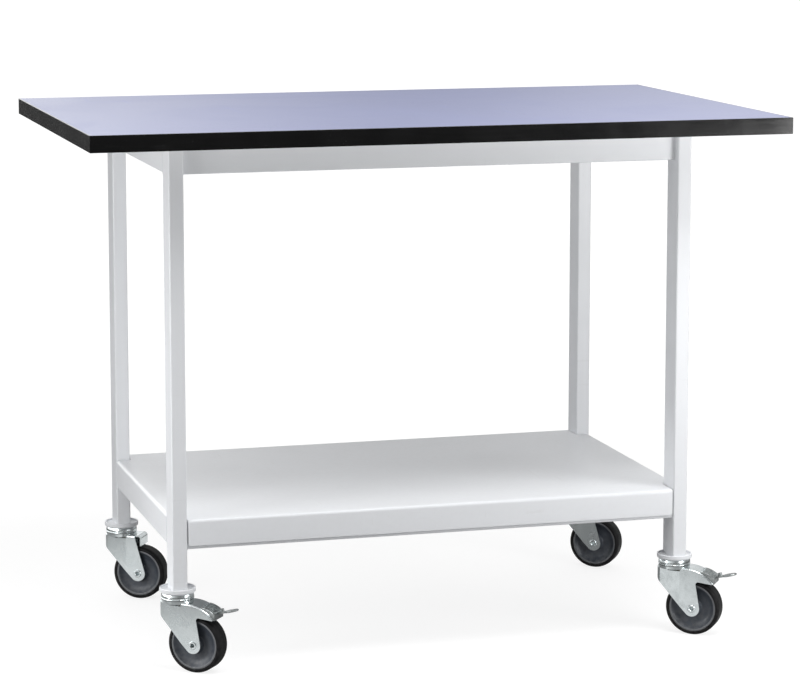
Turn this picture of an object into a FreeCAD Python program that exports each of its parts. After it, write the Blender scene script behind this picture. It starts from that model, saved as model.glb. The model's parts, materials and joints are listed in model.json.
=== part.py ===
import FreeCAD
import Part
import math
import os

# Mobile laboratory work table: a laminate worktop on a welded tube frame, with a folded sheet tray low
# down and four swivel castors, the front two with wheel brakes. Millimetres, +Z up. The origin is on
# the floor under the middle of the worktop, +X runs along the front edge and -Y faces the user.

V = FreeCAD.Vector

# ---- worktop
TOP_LENGTH = 1200.0
TOP_DEPTH = 750.0
TOP_THICKNESS = 28.0
BENCH_HEIGHT = 910.0
LAMINATE = 1.0
EDGE_BAND = 2.0
EDGE_ROUND = 0.8

# ---- tube frame
END_OVERHANG = 145.0
SIDE_OVERHANG = 95.0
LEG_WIDTH = 25.0
LEG_DEPTH = 50.0
RAIL_THICKNESS = 25.0
RAIL_HEIGHT = 50.0
TUBE_WALL = 2.0
TUBE_CORNER = 2.5

# ---- shelf tray
SHELF_RISE = 127.0
SHEET = 1.5
FLANGE_HEIGHT = 45.0
FOLD_RADIUS = 4.0
NOTCH_GAP = 2.0
FLANGE_SPACE = 3.0
FLANGE_END_ROUND = 1.2

# ---- foot plates
FOOT_RADIUS = 30.5
FOOT_BASE = 6.0
FOOT_RIM_RISE = 2.5
FOOT_RIM_WIDTH = 3.0
FOOT_EDGE_ROUND = 1.3
FOOT_UNDER_ROUND = 3.2
BOSS_RADIUS = 9.5
BOSS_HEIGHT = 14.0
THREAD_GAP = 0.05

# ---- worktop fixings
BRACKET_REACH = 20.0
BRACKET_WIDTH = 25.0
BRACKET_SHEET = 2.0
BRACKET_INSET = 60.0
SCREW_RADIUS = 2.0
SCREW_BITE = 12.0
SCREW_HEAD_RADIUS = 4.0
SCREW_HEAD_HEIGHT = 2.2

# ---- castor, with its swing seen from above, in degrees from +X
CASTOR_HEIGHT = 132.0
WHEEL_SPACE = 36.0
WHEEL_WIDTH = 32.0
TRAIL = 37.0
SWING = {"fl": -38.0, "fr": -36.0, "bl": -30.0, "br": -35.0}
BRAKED = ("fl", "fr")

# ---- swivel head
HEAD_RADIUS = 28.0
HEAD_HEIGHT = 10.0
HEAD_WALL = 3.0
HEAD_ROUND = 2.4
KING_RADIUS = 10.0
KING_FLARE = 2.5
KING_FLARE_HEIGHT = 1.6
BOLT_RADIUS = 6.0
BOLT_CLEARANCE = 0.25
BOLT_HEAD_FLATS = 18.0
BOLT_HEAD_HEIGHT = 7.0
BOLT_END_SPACE = 1.0
RUNNING_GAP = 0.05
SEAT_GAP = 0.3
SWIVEL_GAP = 0.8
RACE_RADIUS = 20.0
RACE_WIDTH = 5.0

# ---- fork
CROWN_RADIUS = 27.4
CROWN_RISE = 2.6
FORK_SHEET = 2.6
FORK_NOSE_RADIUS = 29.0
FORK_NOSE_SPACE = 0.8
FORK_HALF_WIDTH = 21.0
FORK_CREASE = 15.0
FORK_TOE_IN_DEG = 7.0
FORK_CORNER = 8.0
FORK_FRONT_DROP = 20.0
FORK_BROW_ROUND = 24.0
FORK_TOP_ROUND = 3.0
AXLE_END_RADIUS = 14.0
THROAT_ROUND = 4.5
SLOT_LENGTH = 24.0
SLOT_HEIGHT = 3.4
SLOT_OFFSET = 4.0

# ---- hood of a braked fork
THROAT_BACK = 43.0
THROAT_DROP = 35.5
HOOD_START = 24.0
HOOD_RADIUS = 67.0
HOOD_REACH = 75.0
HOOD_TAIL_DROP = 39.0
WINDOW_START = 52.0

# ---- rear guard of a plain fork
PLAIN_TOP_BACK = 31.0
GUARD_REACH = 44.0
GUARD_BEND = 6.0
GUARD_FLANGE_DROP = 19.5
GUARD_HALF_WIDTH = 18.0

# ---- wheel
AXLE_RADIUS = 5.0
AXLE_BORE_RADIUS = 3.2
AXLE_LIP = 2.0
AXLE_LIP_HEIGHT = 1.8
AXLE_LIP_CHAMFER = 0.8
AXLE_FLARE = 1.0
BUSH_WALL = 2.0
BUSH_END_GAP = 0.4
HUB_BOSS_RADIUS = 13.0
HUB_BOSS_WIDTH = 34.0
HUB_WEB = 15.0
TYRE_SECTION = 6.5
HUB_RIM_FACE = 2.4
HUB_RIM_WIDTH = 30.0
HUB_SLOPE = 3.0
HUB_WEB_RISE = 1.0
TYRE_SHOULDER = 5.0

# ---- brake
PIN_BACK = 46.0
PIN_DROP = 28.0
PIN_RADIUS = 2.5
PIN_SEAT = 1.6
PEDAL_TOP_RADIUS = 45.0
PEDAL_CREST_DROP = 17.1
PEDAL_START_GAP = 0.5
PEDAL_END = 76.0
PEDAL_SHEET = 2.4
PEDAL_SIDE_GAP = 0.5
PEDAL_TAIL_DROP = 39.0
PEDAL_TAIL_ROUND = 3.0
PEDAL_EDGE_ROUND = 1.2
SKIRT_DIP_BACK = 62.0
SKIRT_DIP_DROP = 34.0
RIB_COUNT = 4
RIB_HEIGHT = 0.8
RIB_WIDTH = 2.0
RIB_SIDE_MARGIN = 4.0
EAR_SHEET = 2.5
EAR_EYE_RADIUS = 5.0
TONGUE_LENGTH = 37.5
TONGUE_WIDTH = 17.0
TONGUE_LEAF = 26.0
TONGUE_NECK = 7.0
TONGUE_THICKNESS = 3.2
TONGUE_RISE_DEG = 14.0
TONGUE_EDGE = 1.2
KNOB_RADIUS = 3.4
KNOB_HEIGHT = 5.0
KNOB_REACH = 8.0
SHOE_ANGLE_DEG = 65.0
SHOE_REST_GAP = 4.6
SHOE_RADIUS = 5.0
SHOE_STEM = 6.5
SHOE_WIDTH = 20.0

# ---- places that follow from the sizes
FRAME_LENGTH = TOP_LENGTH - 2 * END_OVERHANG
FRAME_DEPTH = TOP_DEPTH - 2 * SIDE_OVERHANG
UNDERSIDE = BENCH_HEIGHT - TOP_THICKNESS
FOOT_TOP = CASTOR_HEIGHT + FOOT_BASE
LEG_X = (FRAME_LENGTH - LEG_WIDTH) / 2
LEG_Y = (FRAME_DEPTH - LEG_DEPTH) / 2
BAY_X = FRAME_LENGTH / 2 - LEG_WIDTH
BAY_Y = FRAME_DEPTH / 2 - LEG_DEPTH
CORNERS = {"fl": (-LEG_X, -LEG_Y), "fr": (LEG_X, -LEG_Y), "bl": (-LEG_X, LEG_Y), "br": (LEG_X, LEG_Y)}
SHELF_HEIGHT = CASTOR_HEIGHT + SHELF_RISE
TRAY_UNDER = SHELF_HEIGHT - SHEET
HEAD_BOTTOM = CASTOR_HEIGHT - HEAD_HEIGHT
CROWN_TOP = HEAD_BOTTOM - SWIVEL_GAP
FORK_TOP = CROWN_TOP - CROWN_RISE
CROWN_UNDER = FORK_TOP - FORK_SHEET
KING_BOTTOM = CROWN_UNDER - SEAT_GAP - KING_FLARE_HEIGHT
WHEEL_RADIUS = (CASTOR_HEIGHT - WHEEL_SPACE) / 2
AXLE_HEIGHT = WHEEL_RADIUS
HUB_RIM_RADIUS = WHEEL_RADIUS - TYRE_SECTION
FORK_INNER = FORK_HALF_WIDTH - FORK_SHEET
HOOD_CENTRE = FORK_TOP - HOOD_RADIUS
THROAT_HEIGHT = CASTOR_HEIGHT - THROAT_DROP
HOOD_TAIL_HEIGHT = CASTOR_HEIGHT - HOOD_TAIL_DROP
PIN_HEIGHT = CASTOR_HEIGHT - PIN_DROP
PEDAL_CREST = CASTOR_HEIGHT - PEDAL_CREST_DROP
PEDAL_TAIL_HEIGHT = CASTOR_HEIGHT - PEDAL_TAIL_DROP
SKIRT_DIP_HEIGHT = CASTOR_HEIGHT - SKIRT_DIP_DROP
PEDAL_CENTRE = PEDAL_CREST - PEDAL_TOP_RADIUS
PEDAL_HALF_WIDTH = FORK_INNER - PEDAL_SIDE_GAP
PIN_END = FORK_INNER + PIN_SEAT
BORE_GAP_RADIUS = BOLT_RADIUS + BOLT_CLEARANCE
BEYOND = 10.0


# ---------------------------------------------------------------- small tools
def block(x0, x1, y0, y1, z0, z1):
    return Part.makeBox(x1 - x0, y1 - y0, z1 - z0, V(x0, y0, z0))


def straight_edges(shape, direction):
    """The straight edges of a shape that run along a direction."""
    found = []
    for edge in shape.Edges:
        if isinstance(edge.Curve, Part.Line):
            if abs(edge.Curve.Direction.dot(direction)) > 0.9999:
                found.append(edge)
    return found


def loop_face(*curves):
    """A face inside one closed run of curves and of straight lines given as pairs of points."""
    edges = [Part.makeLine(*c) if isinstance(c, tuple) else c.toShape() for c in curves]
    return Part.Face(Part.Wire(edges))


def polygon_face(points):
    return Part.Face(Part.makePolygon(list(points) + [points[0]]))


def cylinder(radius, height, base, axis=V(0, 0, 1)):
    return Part.makeCylinder(radius, height, base, axis)


def across(radius, half_width, x, z):
    """A cylinder lying across the castor, along Y, centred on Y = 0."""
    return cylinder(radius, 2 * half_width, V(x, -half_width, z), V(0, 1, 0))


def widen(face, half_width):
    """Extrudes a face drawn in the XZ plane to both sides of it."""
    face.translate(V(0, -half_width, 0))
    return face.extrude(V(0, 2 * half_width, 0))


def edges_across(shape, x, z):
    """The straight edges along Y at one place in the XZ plane."""
    spots = [(e, e.CenterOfMass) for e in straight_edges(shape, V(0, 1, 0))]
    return [e for e, spot in spots if abs(spot.x - x) + abs(spot.z - z) < 0.01]


def turned(points, axis):
    """Turns a closed profile, given as distances from an axis and along it, about that axis."""
    return polygon_face([V(r, 0, 0) + axis * w for r, w in points]).revolve(V(0, 0, 0), axis, 360)


def arc_between(cx, cz, radius, start_deg, end_deg):
    """An arc in the XZ plane by its centre, radius and the angles of its ends from +X."""
    spots = []
    for angle in (start_deg, (start_deg + end_deg) / 2, end_deg):
        a = math.radians(angle)
        spots.append(V(cx + radius * math.cos(a), 0, cz + radius * math.sin(a)))
    return Part.Arc(*spots)


def tangent_angle(x, z, cx, cz, radius, side):
    """The angle, seen from a circle's centre, of the point where a line from (x, z) touches it."""
    distance = math.hypot(x - cx, z - cz)
    towards = math.degrees(math.atan2(z - cz, x - cx))
    return towards + side * math.degrees(math.acos(radius / distance))


def rise(centre, radius, run):
    """The height of a circle's upper side at a horizontal distance from its centre."""
    return centre + math.sqrt(radius**2 - run**2)


def tube(x0, x1, y0, y1, z0, z1, direction):
    """A rectangular tube open at both ends, with its length along one axis."""
    outer = block(x0, x1, y0, y1, z0, z1)
    outer = outer.makeFillet(TUBE_CORNER, straight_edges(outer, direction))
    inset = [0.0 if d else TUBE_WALL for d in direction]
    bore = block(
        x0 + inset[0], x1 - inset[0],
        y0 + inset[1], y1 - inset[1],
        z0 + inset[2], z1 - inset[2],
    )
    return outer.cut(bore)


def at_corner(shape, corner):
    """Puts a castor piece, drawn with its trail along +X, under a leg at the castor's swing."""
    placed = shape.copy()
    placed.rotate(V(0, 0, 0), V(0, 0, 1), SWING[corner])
    placed.translate(V(*CORNERS[corner], 0))
    return placed


# ---------------------------------------------------------------- worktop
def screw_places():
    """The middles of the worktop screws, which are also the middles of their brackets' flats."""
    y = LEG_Y - RAIL_THICKNESS / 2 - BRACKET_REACH / 2
    return [V(x, side * y, 0) for side in (-1, 1) for x in (BRACKET_INSET - BAY_X, 0, BAY_X - BRACKET_INSET)]


def screw_holes(z0, z1):
    radius = SCREW_RADIUS + THREAD_GAP
    return Part.Compound([cylinder(radius, z1 - z0, V(p.x, p.y, z0)) for p in screw_places()])


def worktop():
    half_x = TOP_LENGTH / 2 - EDGE_BAND
    half_y = TOP_DEPTH / 2 - EDGE_BAND
    core_low = UNDERSIDE + LAMINATE
    core_high = BENCH_HEIGHT - LAMINATE
    core = block(-half_x, half_x, -half_y, half_y, core_low, core_high)
    backing = block(-half_x, half_x, -half_y, half_y, UNDERSIDE, core_low)
    bite = screw_holes(UNDERSIDE, UNDERSIDE + SCREW_BITE)
    return {
        "worktop_core": core.cut(bite),
        "worktop_laminate": block(-half_x, half_x, -half_y, half_y, core_high, BENCH_HEIGHT),
        "worktop_backing": backing.cut(bite),
    }


def edge_bands():
    """Four strips: the long ones run the full length and the short ones stop between them. Their
    outer long edges are scraped round."""
    full_x = TOP_LENGTH / 2
    full_y = TOP_DEPTH / 2
    strips = {}
    for label, side in (("front", -1), ("back", 1)):
        y = sorted((side * full_y, side * (full_y - EDGE_BAND)))
        strip = block(-full_x, full_x, *y, UNDERSIDE, BENCH_HEIGHT)
        strips["edge_band_" + label] = scraped(strip, V(1, 0, 0), V(0, side * full_y, 0))
    for label, side in (("left", -1), ("right", 1)):
        x = sorted((side * full_x, side * (full_x - EDGE_BAND)))
        strip = block(*x, EDGE_BAND - full_y, full_y - EDGE_BAND, UNDERSIDE, BENCH_HEIGHT)
        strips["edge_band_" + label] = scraped(strip, V(0, 1, 0), V(side * full_x, 0, 0))
    return strips


def scraped(strip, direction, outside):
    """Rounds the two long edges of a strip on its outer face."""
    far = outside.Length
    outer = [e for e in straight_edges(strip, direction) if abs(e.CenterOfMass.dot(outside) / far - far) < 0.01]
    return strip.makeFillet(EDGE_ROUND, outer)


def brackets():
    """Angle brackets welded to the insides of the long top rails, and their screws."""
    angles = []
    screws = []
    for place in screw_places():
        side = -1 if place.y < 0 else 1
        rail_face = side * (LEG_Y - RAIL_THICKNESS / 2)
        reach = sorted((rail_face, rail_face - side * BRACKET_REACH))
        foot = sorted((rail_face, rail_face - side * BRACKET_SHEET))
        x0 = place.x - BRACKET_WIDTH / 2
        x1 = place.x + BRACKET_WIDTH / 2
        flat = block(x0, x1, *reach, UNDERSIDE - BRACKET_SHEET, UNDERSIDE)
        upright = block(x0, x1, *foot, UNDERSIDE - BRACKET_REACH, UNDERSIDE)
        angles.append(flat.fuse(upright).removeSplitter())
        low = UNDERSIDE - BRACKET_SHEET
        shank = cylinder(SCREW_RADIUS, SCREW_BITE + BRACKET_SHEET, V(place.x, place.y, low))
        head = cylinder(SCREW_HEAD_RADIUS, SCREW_HEAD_HEIGHT, V(place.x, place.y, low - SCREW_HEAD_HEIGHT))
        screws.append(shank.fuse(head))
    holes = screw_holes(UNDERSIDE - BRACKET_SHEET, UNDERSIDE)
    return {
        "worktop_brackets": Part.Compound([a.cut(holes) for a in angles]),
        "worktop_screws": Part.Compound(screws),
    }


# ---------------------------------------------------------------- frame
def legs():
    made = {}
    for corner, (x, y) in CORNERS.items():
        made["leg_" + corner] = tube(
            x - LEG_WIDTH / 2, x + LEG_WIDTH / 2,
            y - LEG_DEPTH / 2, y + LEG_DEPTH / 2,
            FOOT_TOP, UNDERSIDE, V(0, 0, 1),
        )
    return made


def rail_ring(name, long_y, short_x, top):
    """Four rails between the legs: two along X at +-long_y and two along Y at +-short_x."""
    low = top - RAIL_HEIGHT
    half = RAIL_THICKNESS / 2
    made = {}
    for label, side in (("front", -1), ("back", 1)):
        y = side * long_y
        made[name + "_" + label] = tube(-BAY_X, BAY_X, y - half, y + half, low, top, V(1, 0, 0))
    for label, side in (("left", -1), ("right", 1)):
        x = side * short_x
        made[name + "_" + label] = tube(x - half, x + half, -BAY_Y, BAY_Y, low, top, V(0, 1, 0))
    return made


def rails():
    """The top rails stand on the middle of the legs at the front and back, and flush with the legs at
    the ends. The lower rails lie inside the tray's flanges, the long ones a small space behind them."""
    flush = FRAME_LENGTH / 2 - RAIL_THICKNESS / 2
    made = rail_ring("top_rail", LEG_Y, flush, UNDERSIDE)
    inside_y = FRAME_DEPTH / 2 - SHEET - FLANGE_SPACE - RAIL_THICKNESS / 2
    made.update(rail_ring("lower_rail", inside_y, flush - SHEET, TRAY_UNDER))
    return made


def shelf_tray():
    """A sheet folded down on its four sides, with its corners cut away round the legs."""
    half_x = FRAME_LENGTH / 2
    half_y = FRAME_DEPTH / 2
    low = SHELF_HEIGHT - FLANGE_HEIGHT
    body = block(-half_x, half_x, -half_y, half_y, low, SHELF_HEIGHT)
    folds = [e for e in body.Edges if abs(e.CenterOfMass.z - SHELF_HEIGHT) < 0.01]
    body = body.makeFillet(FOLD_RADIUS, folds)
    open_side = [f for f in body.Faces if abs(f.CenterOfMass.z - low) < 0.01]
    tray = body.makeThickness(open_side, -SHEET, 0.001)
    inner_x = BAY_X - NOTCH_GAP
    inner_y = BAY_Y - NOTCH_GAP
    for sx in (-1, 1):
        for sy in (-1, 1):
            x = sorted((sx * inner_x, sx * (half_x + BEYOND)))
            y = sorted((sy * inner_y, sy * (half_y + BEYOND)))
            tray = tray.cut(block(*x, *y, low - BEYOND, SHELF_HEIGHT + BEYOND))
    ends = []
    for edge in straight_edges(tray, V(0, 0, 1)):
        spot = edge.CenterOfMass
        on_long = abs(abs(spot.y) - half_y) < 0.01 and abs(abs(spot.x) - inner_x) < 0.01
        on_short = abs(abs(spot.x) - half_x) < 0.01 and abs(abs(spot.y) - inner_y) < 0.01
        if on_long or on_short:
            ends.append(edge)
    return {"shelf_tray": tray.makeFillet(FLANGE_END_ROUND, ends)}


def foot_plate():
    """A round flange with a raised rim, and a boss inside the leg that is threaded for the bolt."""
    rim_top = FOOT_TOP + FOOT_RIM_RISE
    rim_inner = FOOT_RADIUS - FOOT_RIM_WIDTH
    hole = BOLT_RADIUS + THREAD_GAP
    plate = turned(
        [
            (hole, CASTOR_HEIGHT), (FOOT_RADIUS, CASTOR_HEIGHT), (FOOT_RADIUS, rim_top),
            (rim_inner, rim_top), (rim_inner, FOOT_TOP), (BOSS_RADIUS, FOOT_TOP),
            (BOSS_RADIUS, FOOT_TOP + BOSS_HEIGHT), (hole, FOOT_TOP + BOSS_HEIGHT),
        ],
        V(0, 0, 1),
    )
    rim = [e for e in plate.Edges if is_ring(e, FOOT_RADIUS, rim_top) or is_ring(e, rim_inner, rim_top)]
    plate = plate.makeFillet(FOOT_EDGE_ROUND, rim)
    return plate.makeFillet(FOOT_UNDER_ROUND, [e for e in plate.Edges if is_ring(e, FOOT_RADIUS, CASTOR_HEIGHT)])


def is_ring(edge, radius, height):
    """Whether an edge is a level circle of this radius at this height."""
    if not isinstance(edge.Curve, Part.Circle):
        return False
    return abs(edge.Curve.Radius - radius) + abs(edge.Curve.Center.z - height) < 0.01


# ---------------------------------------------------------------- castor: swivel head
def castor_head():
    """The cup that covers the ball race, with the king tube that is flared under the fork crown."""
    roof = CASTOR_HEIGHT - HEAD_WALL
    flare_top = KING_BOTTOM + KING_FLARE_HEIGHT
    head = turned(
        [
            (BORE_GAP_RADIUS, CASTOR_HEIGHT), (HEAD_RADIUS, CASTOR_HEIGHT), (HEAD_RADIUS, HEAD_BOTTOM),
            (HEAD_RADIUS - HEAD_WALL, HEAD_BOTTOM), (HEAD_RADIUS - HEAD_WALL, roof), (KING_RADIUS, roof),
            (KING_RADIUS, flare_top), (KING_RADIUS + KING_FLARE, flare_top),
            (KING_RADIUS + KING_FLARE, KING_BOTTOM), (BORE_GAP_RADIUS, KING_BOTTOM),
        ],
        V(0, 0, 1),
    )
    return head.makeFillet(HEAD_ROUND, [e for e in head.Edges if is_ring(e, HEAD_RADIUS, HEAD_BOTTOM)])


def castor_bolt():
    """A hexagon bolt up through the king tube into the boss of the foot plate."""
    corner = BOLT_HEAD_FLATS / math.sqrt(3)
    angles = [math.radians(60 * k) for k in range(6)]
    low = KING_BOTTOM - BOLT_HEAD_HEIGHT
    hexagon = polygon_face([V(corner * math.cos(a), corner * math.sin(a), low) for a in angles])
    head = hexagon.extrude(V(0, 0, BOLT_HEAD_HEIGHT))
    end = FOOT_TOP + BOSS_HEIGHT - BOLT_END_SPACE
    return head.fuse(cylinder(BOLT_RADIUS, end - KING_BOTTOM, V(0, 0, KING_BOTTOM)))


def ball_race():
    """The ring of balls, as one ring that fills the cup above the fork's crown."""
    low = V(0, 0, CROWN_TOP + SEAT_GAP)
    height = CASTOR_HEIGHT - HEAD_WALL - low.z
    ring = cylinder(RACE_RADIUS + RACE_WIDTH / 2, height, low)
    return ring.cut(cylinder(RACE_RADIUS - RACE_WIDTH / 2, height, low))


# ---------------------------------------------------------------- castor: stamped fork
def fork_plan(inset, back, low, high):
    """The fork's plan as a prism: a round front, corners, sides that toe in ahead of a crease and run
    straight behind it. inset is how far it lies inside the fork's outer skin."""
    half = FORK_HALF_WIDTH - inset
    radius = FORK_NOSE_RADIUS - inset
    slope = math.tan(math.radians(FORK_TOE_IN_DEG))
    # where the toed-in side, y = base + slope * x, meets the round front
    base = half - slope * FORK_CREASE
    a = 1 + slope**2
    b = 2 * base * slope
    c = base**2 - radius**2
    x = (-b - math.sqrt(b**2 - 4 * a * c)) / (2 * a)
    y = base + slope * x
    face = loop_face(
        Part.Arc(V(x, y, low), V(-radius, 0, low), V(x, -y, low)),
        (V(x, -y, low), V(FORK_CREASE, -half, low)),
        (V(FORK_CREASE, -half, low), V(back, -half, low)),
        (V(back, -half, low), V(back, half, low)),
        (V(back, half, low), V(FORK_CREASE, half, low)),
        (V(FORK_CREASE, half, low), V(x, y, low)),
    )
    prism = face.extrude(V(0, 0, high - low))
    corners = [e for e in straight_edges(prism, V(0, 0, 1)) if abs(e.CenterOfMass.x - x) < 0.01]
    return prism.makeFillet(FORK_CORNER - inset, corners)


def fork_outline(braked):
    """The fork seen from the side: down the slanted front edge, round the axle and up the back, then
    out along the hood where there is a brake."""
    front = -FORK_NOSE_RADIUS - FORK_NOSE_SPACE
    brow = V(front, 0, FORK_TOP - FORK_FRONT_DROP)
    end = (TRAIL, AXLE_HEIGHT, AXLE_END_RADIUS)
    down = tangent_angle(brow.x, brow.z, *end, 1)
    first = V(TRAIL + AXLE_END_RADIUS * math.cos(math.radians(down)), 0,
              AXLE_HEIGHT + AXLE_END_RADIUS * math.sin(math.radians(down)))
    start = [(V(front, 0, FORK_TOP), brow), (brow, first)]
    back = V(THROAT_BACK, 0, THROAT_HEIGHT) if braked else V(PLAIN_TOP_BACK, 0, FORK_TOP)
    up = tangent_angle(back.x, back.z, *end, -1)
    last = V(TRAIL + AXLE_END_RADIUS * math.cos(math.radians(up)), 0,
             AXLE_HEIGHT + AXLE_END_RADIUS * math.sin(math.radians(up)))
    around = arc_between(*end, down, up + 360)
    if not braked:
        return loop_face(*start, around, (last, back), (back, V(front, 0, FORK_TOP)))
    run = HOOD_REACH - HOOD_START
    tail = V(HOOD_REACH, 0, rise(HOOD_CENTRE, HOOD_RADIUS, run))
    tail_angle = math.degrees(math.acos(run / HOOD_RADIUS))
    lip = V(HOOD_REACH - SHEET, 0, HOOD_TAIL_HEIGHT)
    hood = arc_between(HOOD_START, HOOD_CENTRE, HOOD_RADIUS, tail_angle, 90)
    crest = V(HOOD_START, 0, FORK_TOP)
    return loop_face(*start, around, (last, back), (back, lip), (lip, tail), hood,
                     (crest, V(front, 0, FORK_TOP)))


def under_sheet(braked):
    """The space below the fork's top sheet, seen from the side."""
    far = HOOD_START + HOOD_RADIUS + BEYOND
    front = -FORK_NOSE_RADIUS - BEYOND
    if not braked:
        return polygon_face([V(front, 0, 0), V(far, 0, 0), V(far, 0, CROWN_UNDER), V(front, 0, CROWN_UNDER)])
    radius = HOOD_RADIUS - FORK_SHEET
    side = V(HOOD_START + radius, 0, HOOD_CENTRE)
    crest = V(HOOD_START, 0, CROWN_UNDER)
    return loop_face(
        (V(front, 0, 0), V(side.x, 0, 0)), (V(side.x, 0, 0), side),
        arc_between(HOOD_START, HOOD_CENTRE, radius, 0, 90),
        (crest, V(front, 0, CROWN_UNDER)), (V(front, 0, CROWN_UNDER), V(front, 0, 0)),
    )


def top_edges(shape):
    """The long edges round the fork's top sheet, without the ones that run across it."""
    found = []
    for edge in shape.Edges:
        spot = edge.valueAt((edge.FirstParameter + edge.LastParameter) / 2)
        run = max(spot.x - HOOD_START, 0)
        skin = rise(HOOD_CENTRE, HOOD_RADIUS, min(run, HOOD_RADIUS))
        crosswise = abs(edge.Vertexes[0].Point.y - edge.Vertexes[-1].Point.y) > FORK_HALF_WIDTH
        if abs(spot.z - skin) < 0.01 and not (crosswise and isinstance(edge.Curve, Part.Line)):
            found.append(edge)
    return found


def fork(braked):
    back = HOOD_REACH + BEYOND
    low = AXLE_HEIGHT - AXLE_END_RADIUS - BEYOND
    skin = widen(fork_outline(braked), FORK_NOSE_RADIUS + BEYOND)
    brow = edges_across(skin, -FORK_NOSE_RADIUS - FORK_NOSE_SPACE, FORK_TOP - FORK_FRONT_DROP)
    skin = skin.makeFillet(FORK_BROW_ROUND, brow)
    if braked:
        skin = skin.makeFillet(THROAT_ROUND, edges_across(skin, THROAT_BACK, THROAT_HEIGHT))
    body = skin.common(fork_plan(0, back, low, FORK_TOP))
    body = body.makeFillet(FORK_TOP_ROUND, top_edges(body))
    hollow = widen(under_sheet(braked), FORK_NOSE_RADIUS + BEYOND)
    body = body.cut(hollow.common(fork_plan(FORK_SHEET, back, low - BEYOND, FORK_TOP)))
    body = body.fuse(cylinder(CROWN_RADIUS, CROWN_TOP - CROWN_UNDER, V(0, 0, CROWN_UNDER)))
    if braked:
        window = block(WINDOW_START, back, -FORK_INNER, FORK_INNER, HOOD_TAIL_HEIGHT - BEYOND, FORK_TOP)
        body = body.cut(window).cut(across(PIN_RADIUS + THREAD_GAP, PIN_END + THREAD_GAP, PIN_BACK, PIN_HEIGHT))
    else:
        body = body.fuse(rear_guard())
    body = body.cut(cylinder(KING_RADIUS + RUNNING_GAP, CASTOR_HEIGHT, V(0, 0, 0)))
    body = body.cut(across(AXLE_RADIUS + THREAD_GAP, back, TRAIL, AXLE_HEIGHT))
    return body.cut(race_slots()).removeSplitter()


def race_slots():
    """Oval slots through both sides, close under the crown."""
    z = CROWN_UNDER - SLOT_HEIGHT / 2
    half = (SLOT_LENGTH - SLOT_HEIGHT) / 2
    deep = FORK_NOSE_RADIUS + BEYOND
    slot = block(SLOT_OFFSET - half, SLOT_OFFSET + half, -deep, deep, z - SLOT_HEIGHT / 2, z + SLOT_HEIGHT / 2)
    for x in (SLOT_OFFSET - half, SLOT_OFFSET + half):
        slot = slot.fuse(across(SLOT_HEIGHT / 2, deep, x, z))
    return slot


def rear_guard():
    """The crown's sheet carried back and bent down behind the wheel's top on a plain fork."""
    bend = V(GUARD_REACH - GUARD_BEND, 0, FORK_TOP - GUARD_BEND)
    low = FORK_TOP - GUARD_FLANGE_DROP
    start = PLAIN_TOP_BACK - BEYOND
    inner = GUARD_REACH - FORK_SHEET
    profile = loop_face(
        (V(start, 0, CROWN_UNDER), V(bend.x, 0, CROWN_UNDER)),
        arc_between(bend.x, bend.z, GUARD_BEND - FORK_SHEET, 90, 0),
        (V(inner, 0, bend.z), V(inner, 0, low)),
        (V(inner, 0, low), V(GUARD_REACH, 0, low)),
        (V(GUARD_REACH, 0, low), V(GUARD_REACH, 0, bend.z)),
        arc_between(bend.x, bend.z, GUARD_BEND, 0, 90),
        (V(bend.x, 0, FORK_TOP), V(start, 0, FORK_TOP)),
        (V(start, 0, FORK_TOP), V(start, 0, CROWN_UNDER)),
    )
    return widen(profile, GUARD_HALF_WIDTH)


# ---------------------------------------------------------------- castor: wheel
def on_axle(shape):
    """Moves a piece turned about the Y axis up to the axle."""
    shape.translate(V(TRAIL, 0, AXLE_HEIGHT))
    return shape


def mirrored_profile(half):
    """Completes a profile of (radius, width) points, listed from the bore outwards on one side."""
    return half + [(r, -w) for r, w in reversed(half)]


def axle():
    """A hollow axle, flared over the outsides of the fork."""
    lip_out = FORK_HALF_WIDTH + AXLE_LIP_HEIGHT
    lip_radius = AXLE_RADIUS + AXLE_LIP
    half = [(AXLE_BORE_RADIUS, lip_out - AXLE_FLARE), (AXLE_BORE_RADIUS + AXLE_FLARE, lip_out),
            (lip_radius - AXLE_LIP_CHAMFER, lip_out), (lip_radius, lip_out - AXLE_LIP_CHAMFER),
            (lip_radius, FORK_HALF_WIDTH), (AXLE_RADIUS, FORK_HALF_WIDTH)]
    return on_axle(turned(mirrored_profile(half), V(0, 1, 0)))


def wheel_bush():
    half = FORK_INNER - BUSH_END_GAP
    bore = AXLE_RADIUS + RUNNING_GAP
    return on_axle(turned(mirrored_profile([(bore, half), (bore + BUSH_WALL, half)]), V(0, 1, 0)))


def wheel_hub():
    """A dished hub: boss, sloping web and a rim whose face shows as a ring."""
    bore = AXLE_RADIUS + RUNNING_GAP + BUSH_WALL + THREAD_GAP
    web = HUB_WEB / 2
    rim = HUB_RIM_WIDTH / 2
    dish = HUB_RIM_RADIUS - HUB_RIM_FACE
    half = [(bore, HUB_BOSS_WIDTH / 2), (HUB_BOSS_RADIUS, HUB_BOSS_WIDTH / 2),
            (HUB_BOSS_RADIUS + HUB_SLOPE, web), (dish - HUB_SLOPE, web + HUB_WEB_RISE), (dish, rim),
            (HUB_RIM_RADIUS, rim)]
    return on_axle(turned(mirrored_profile(half), V(0, 1, 0)))


def wheel_tyre():
    """A tyre with rounded shoulders, moulded round the rim."""
    half = WHEEL_WIDTH / 2
    tyre = across(WHEEL_RADIUS, half, 0, 0)
    tyre = tyre.makeFillet(TYRE_SHOULDER, [e for e in tyre.Edges if isinstance(e.Curve, Part.Circle)])
    return on_axle(tyre.cut(across(HUB_RIM_RADIUS, half, 0, 0)))


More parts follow.
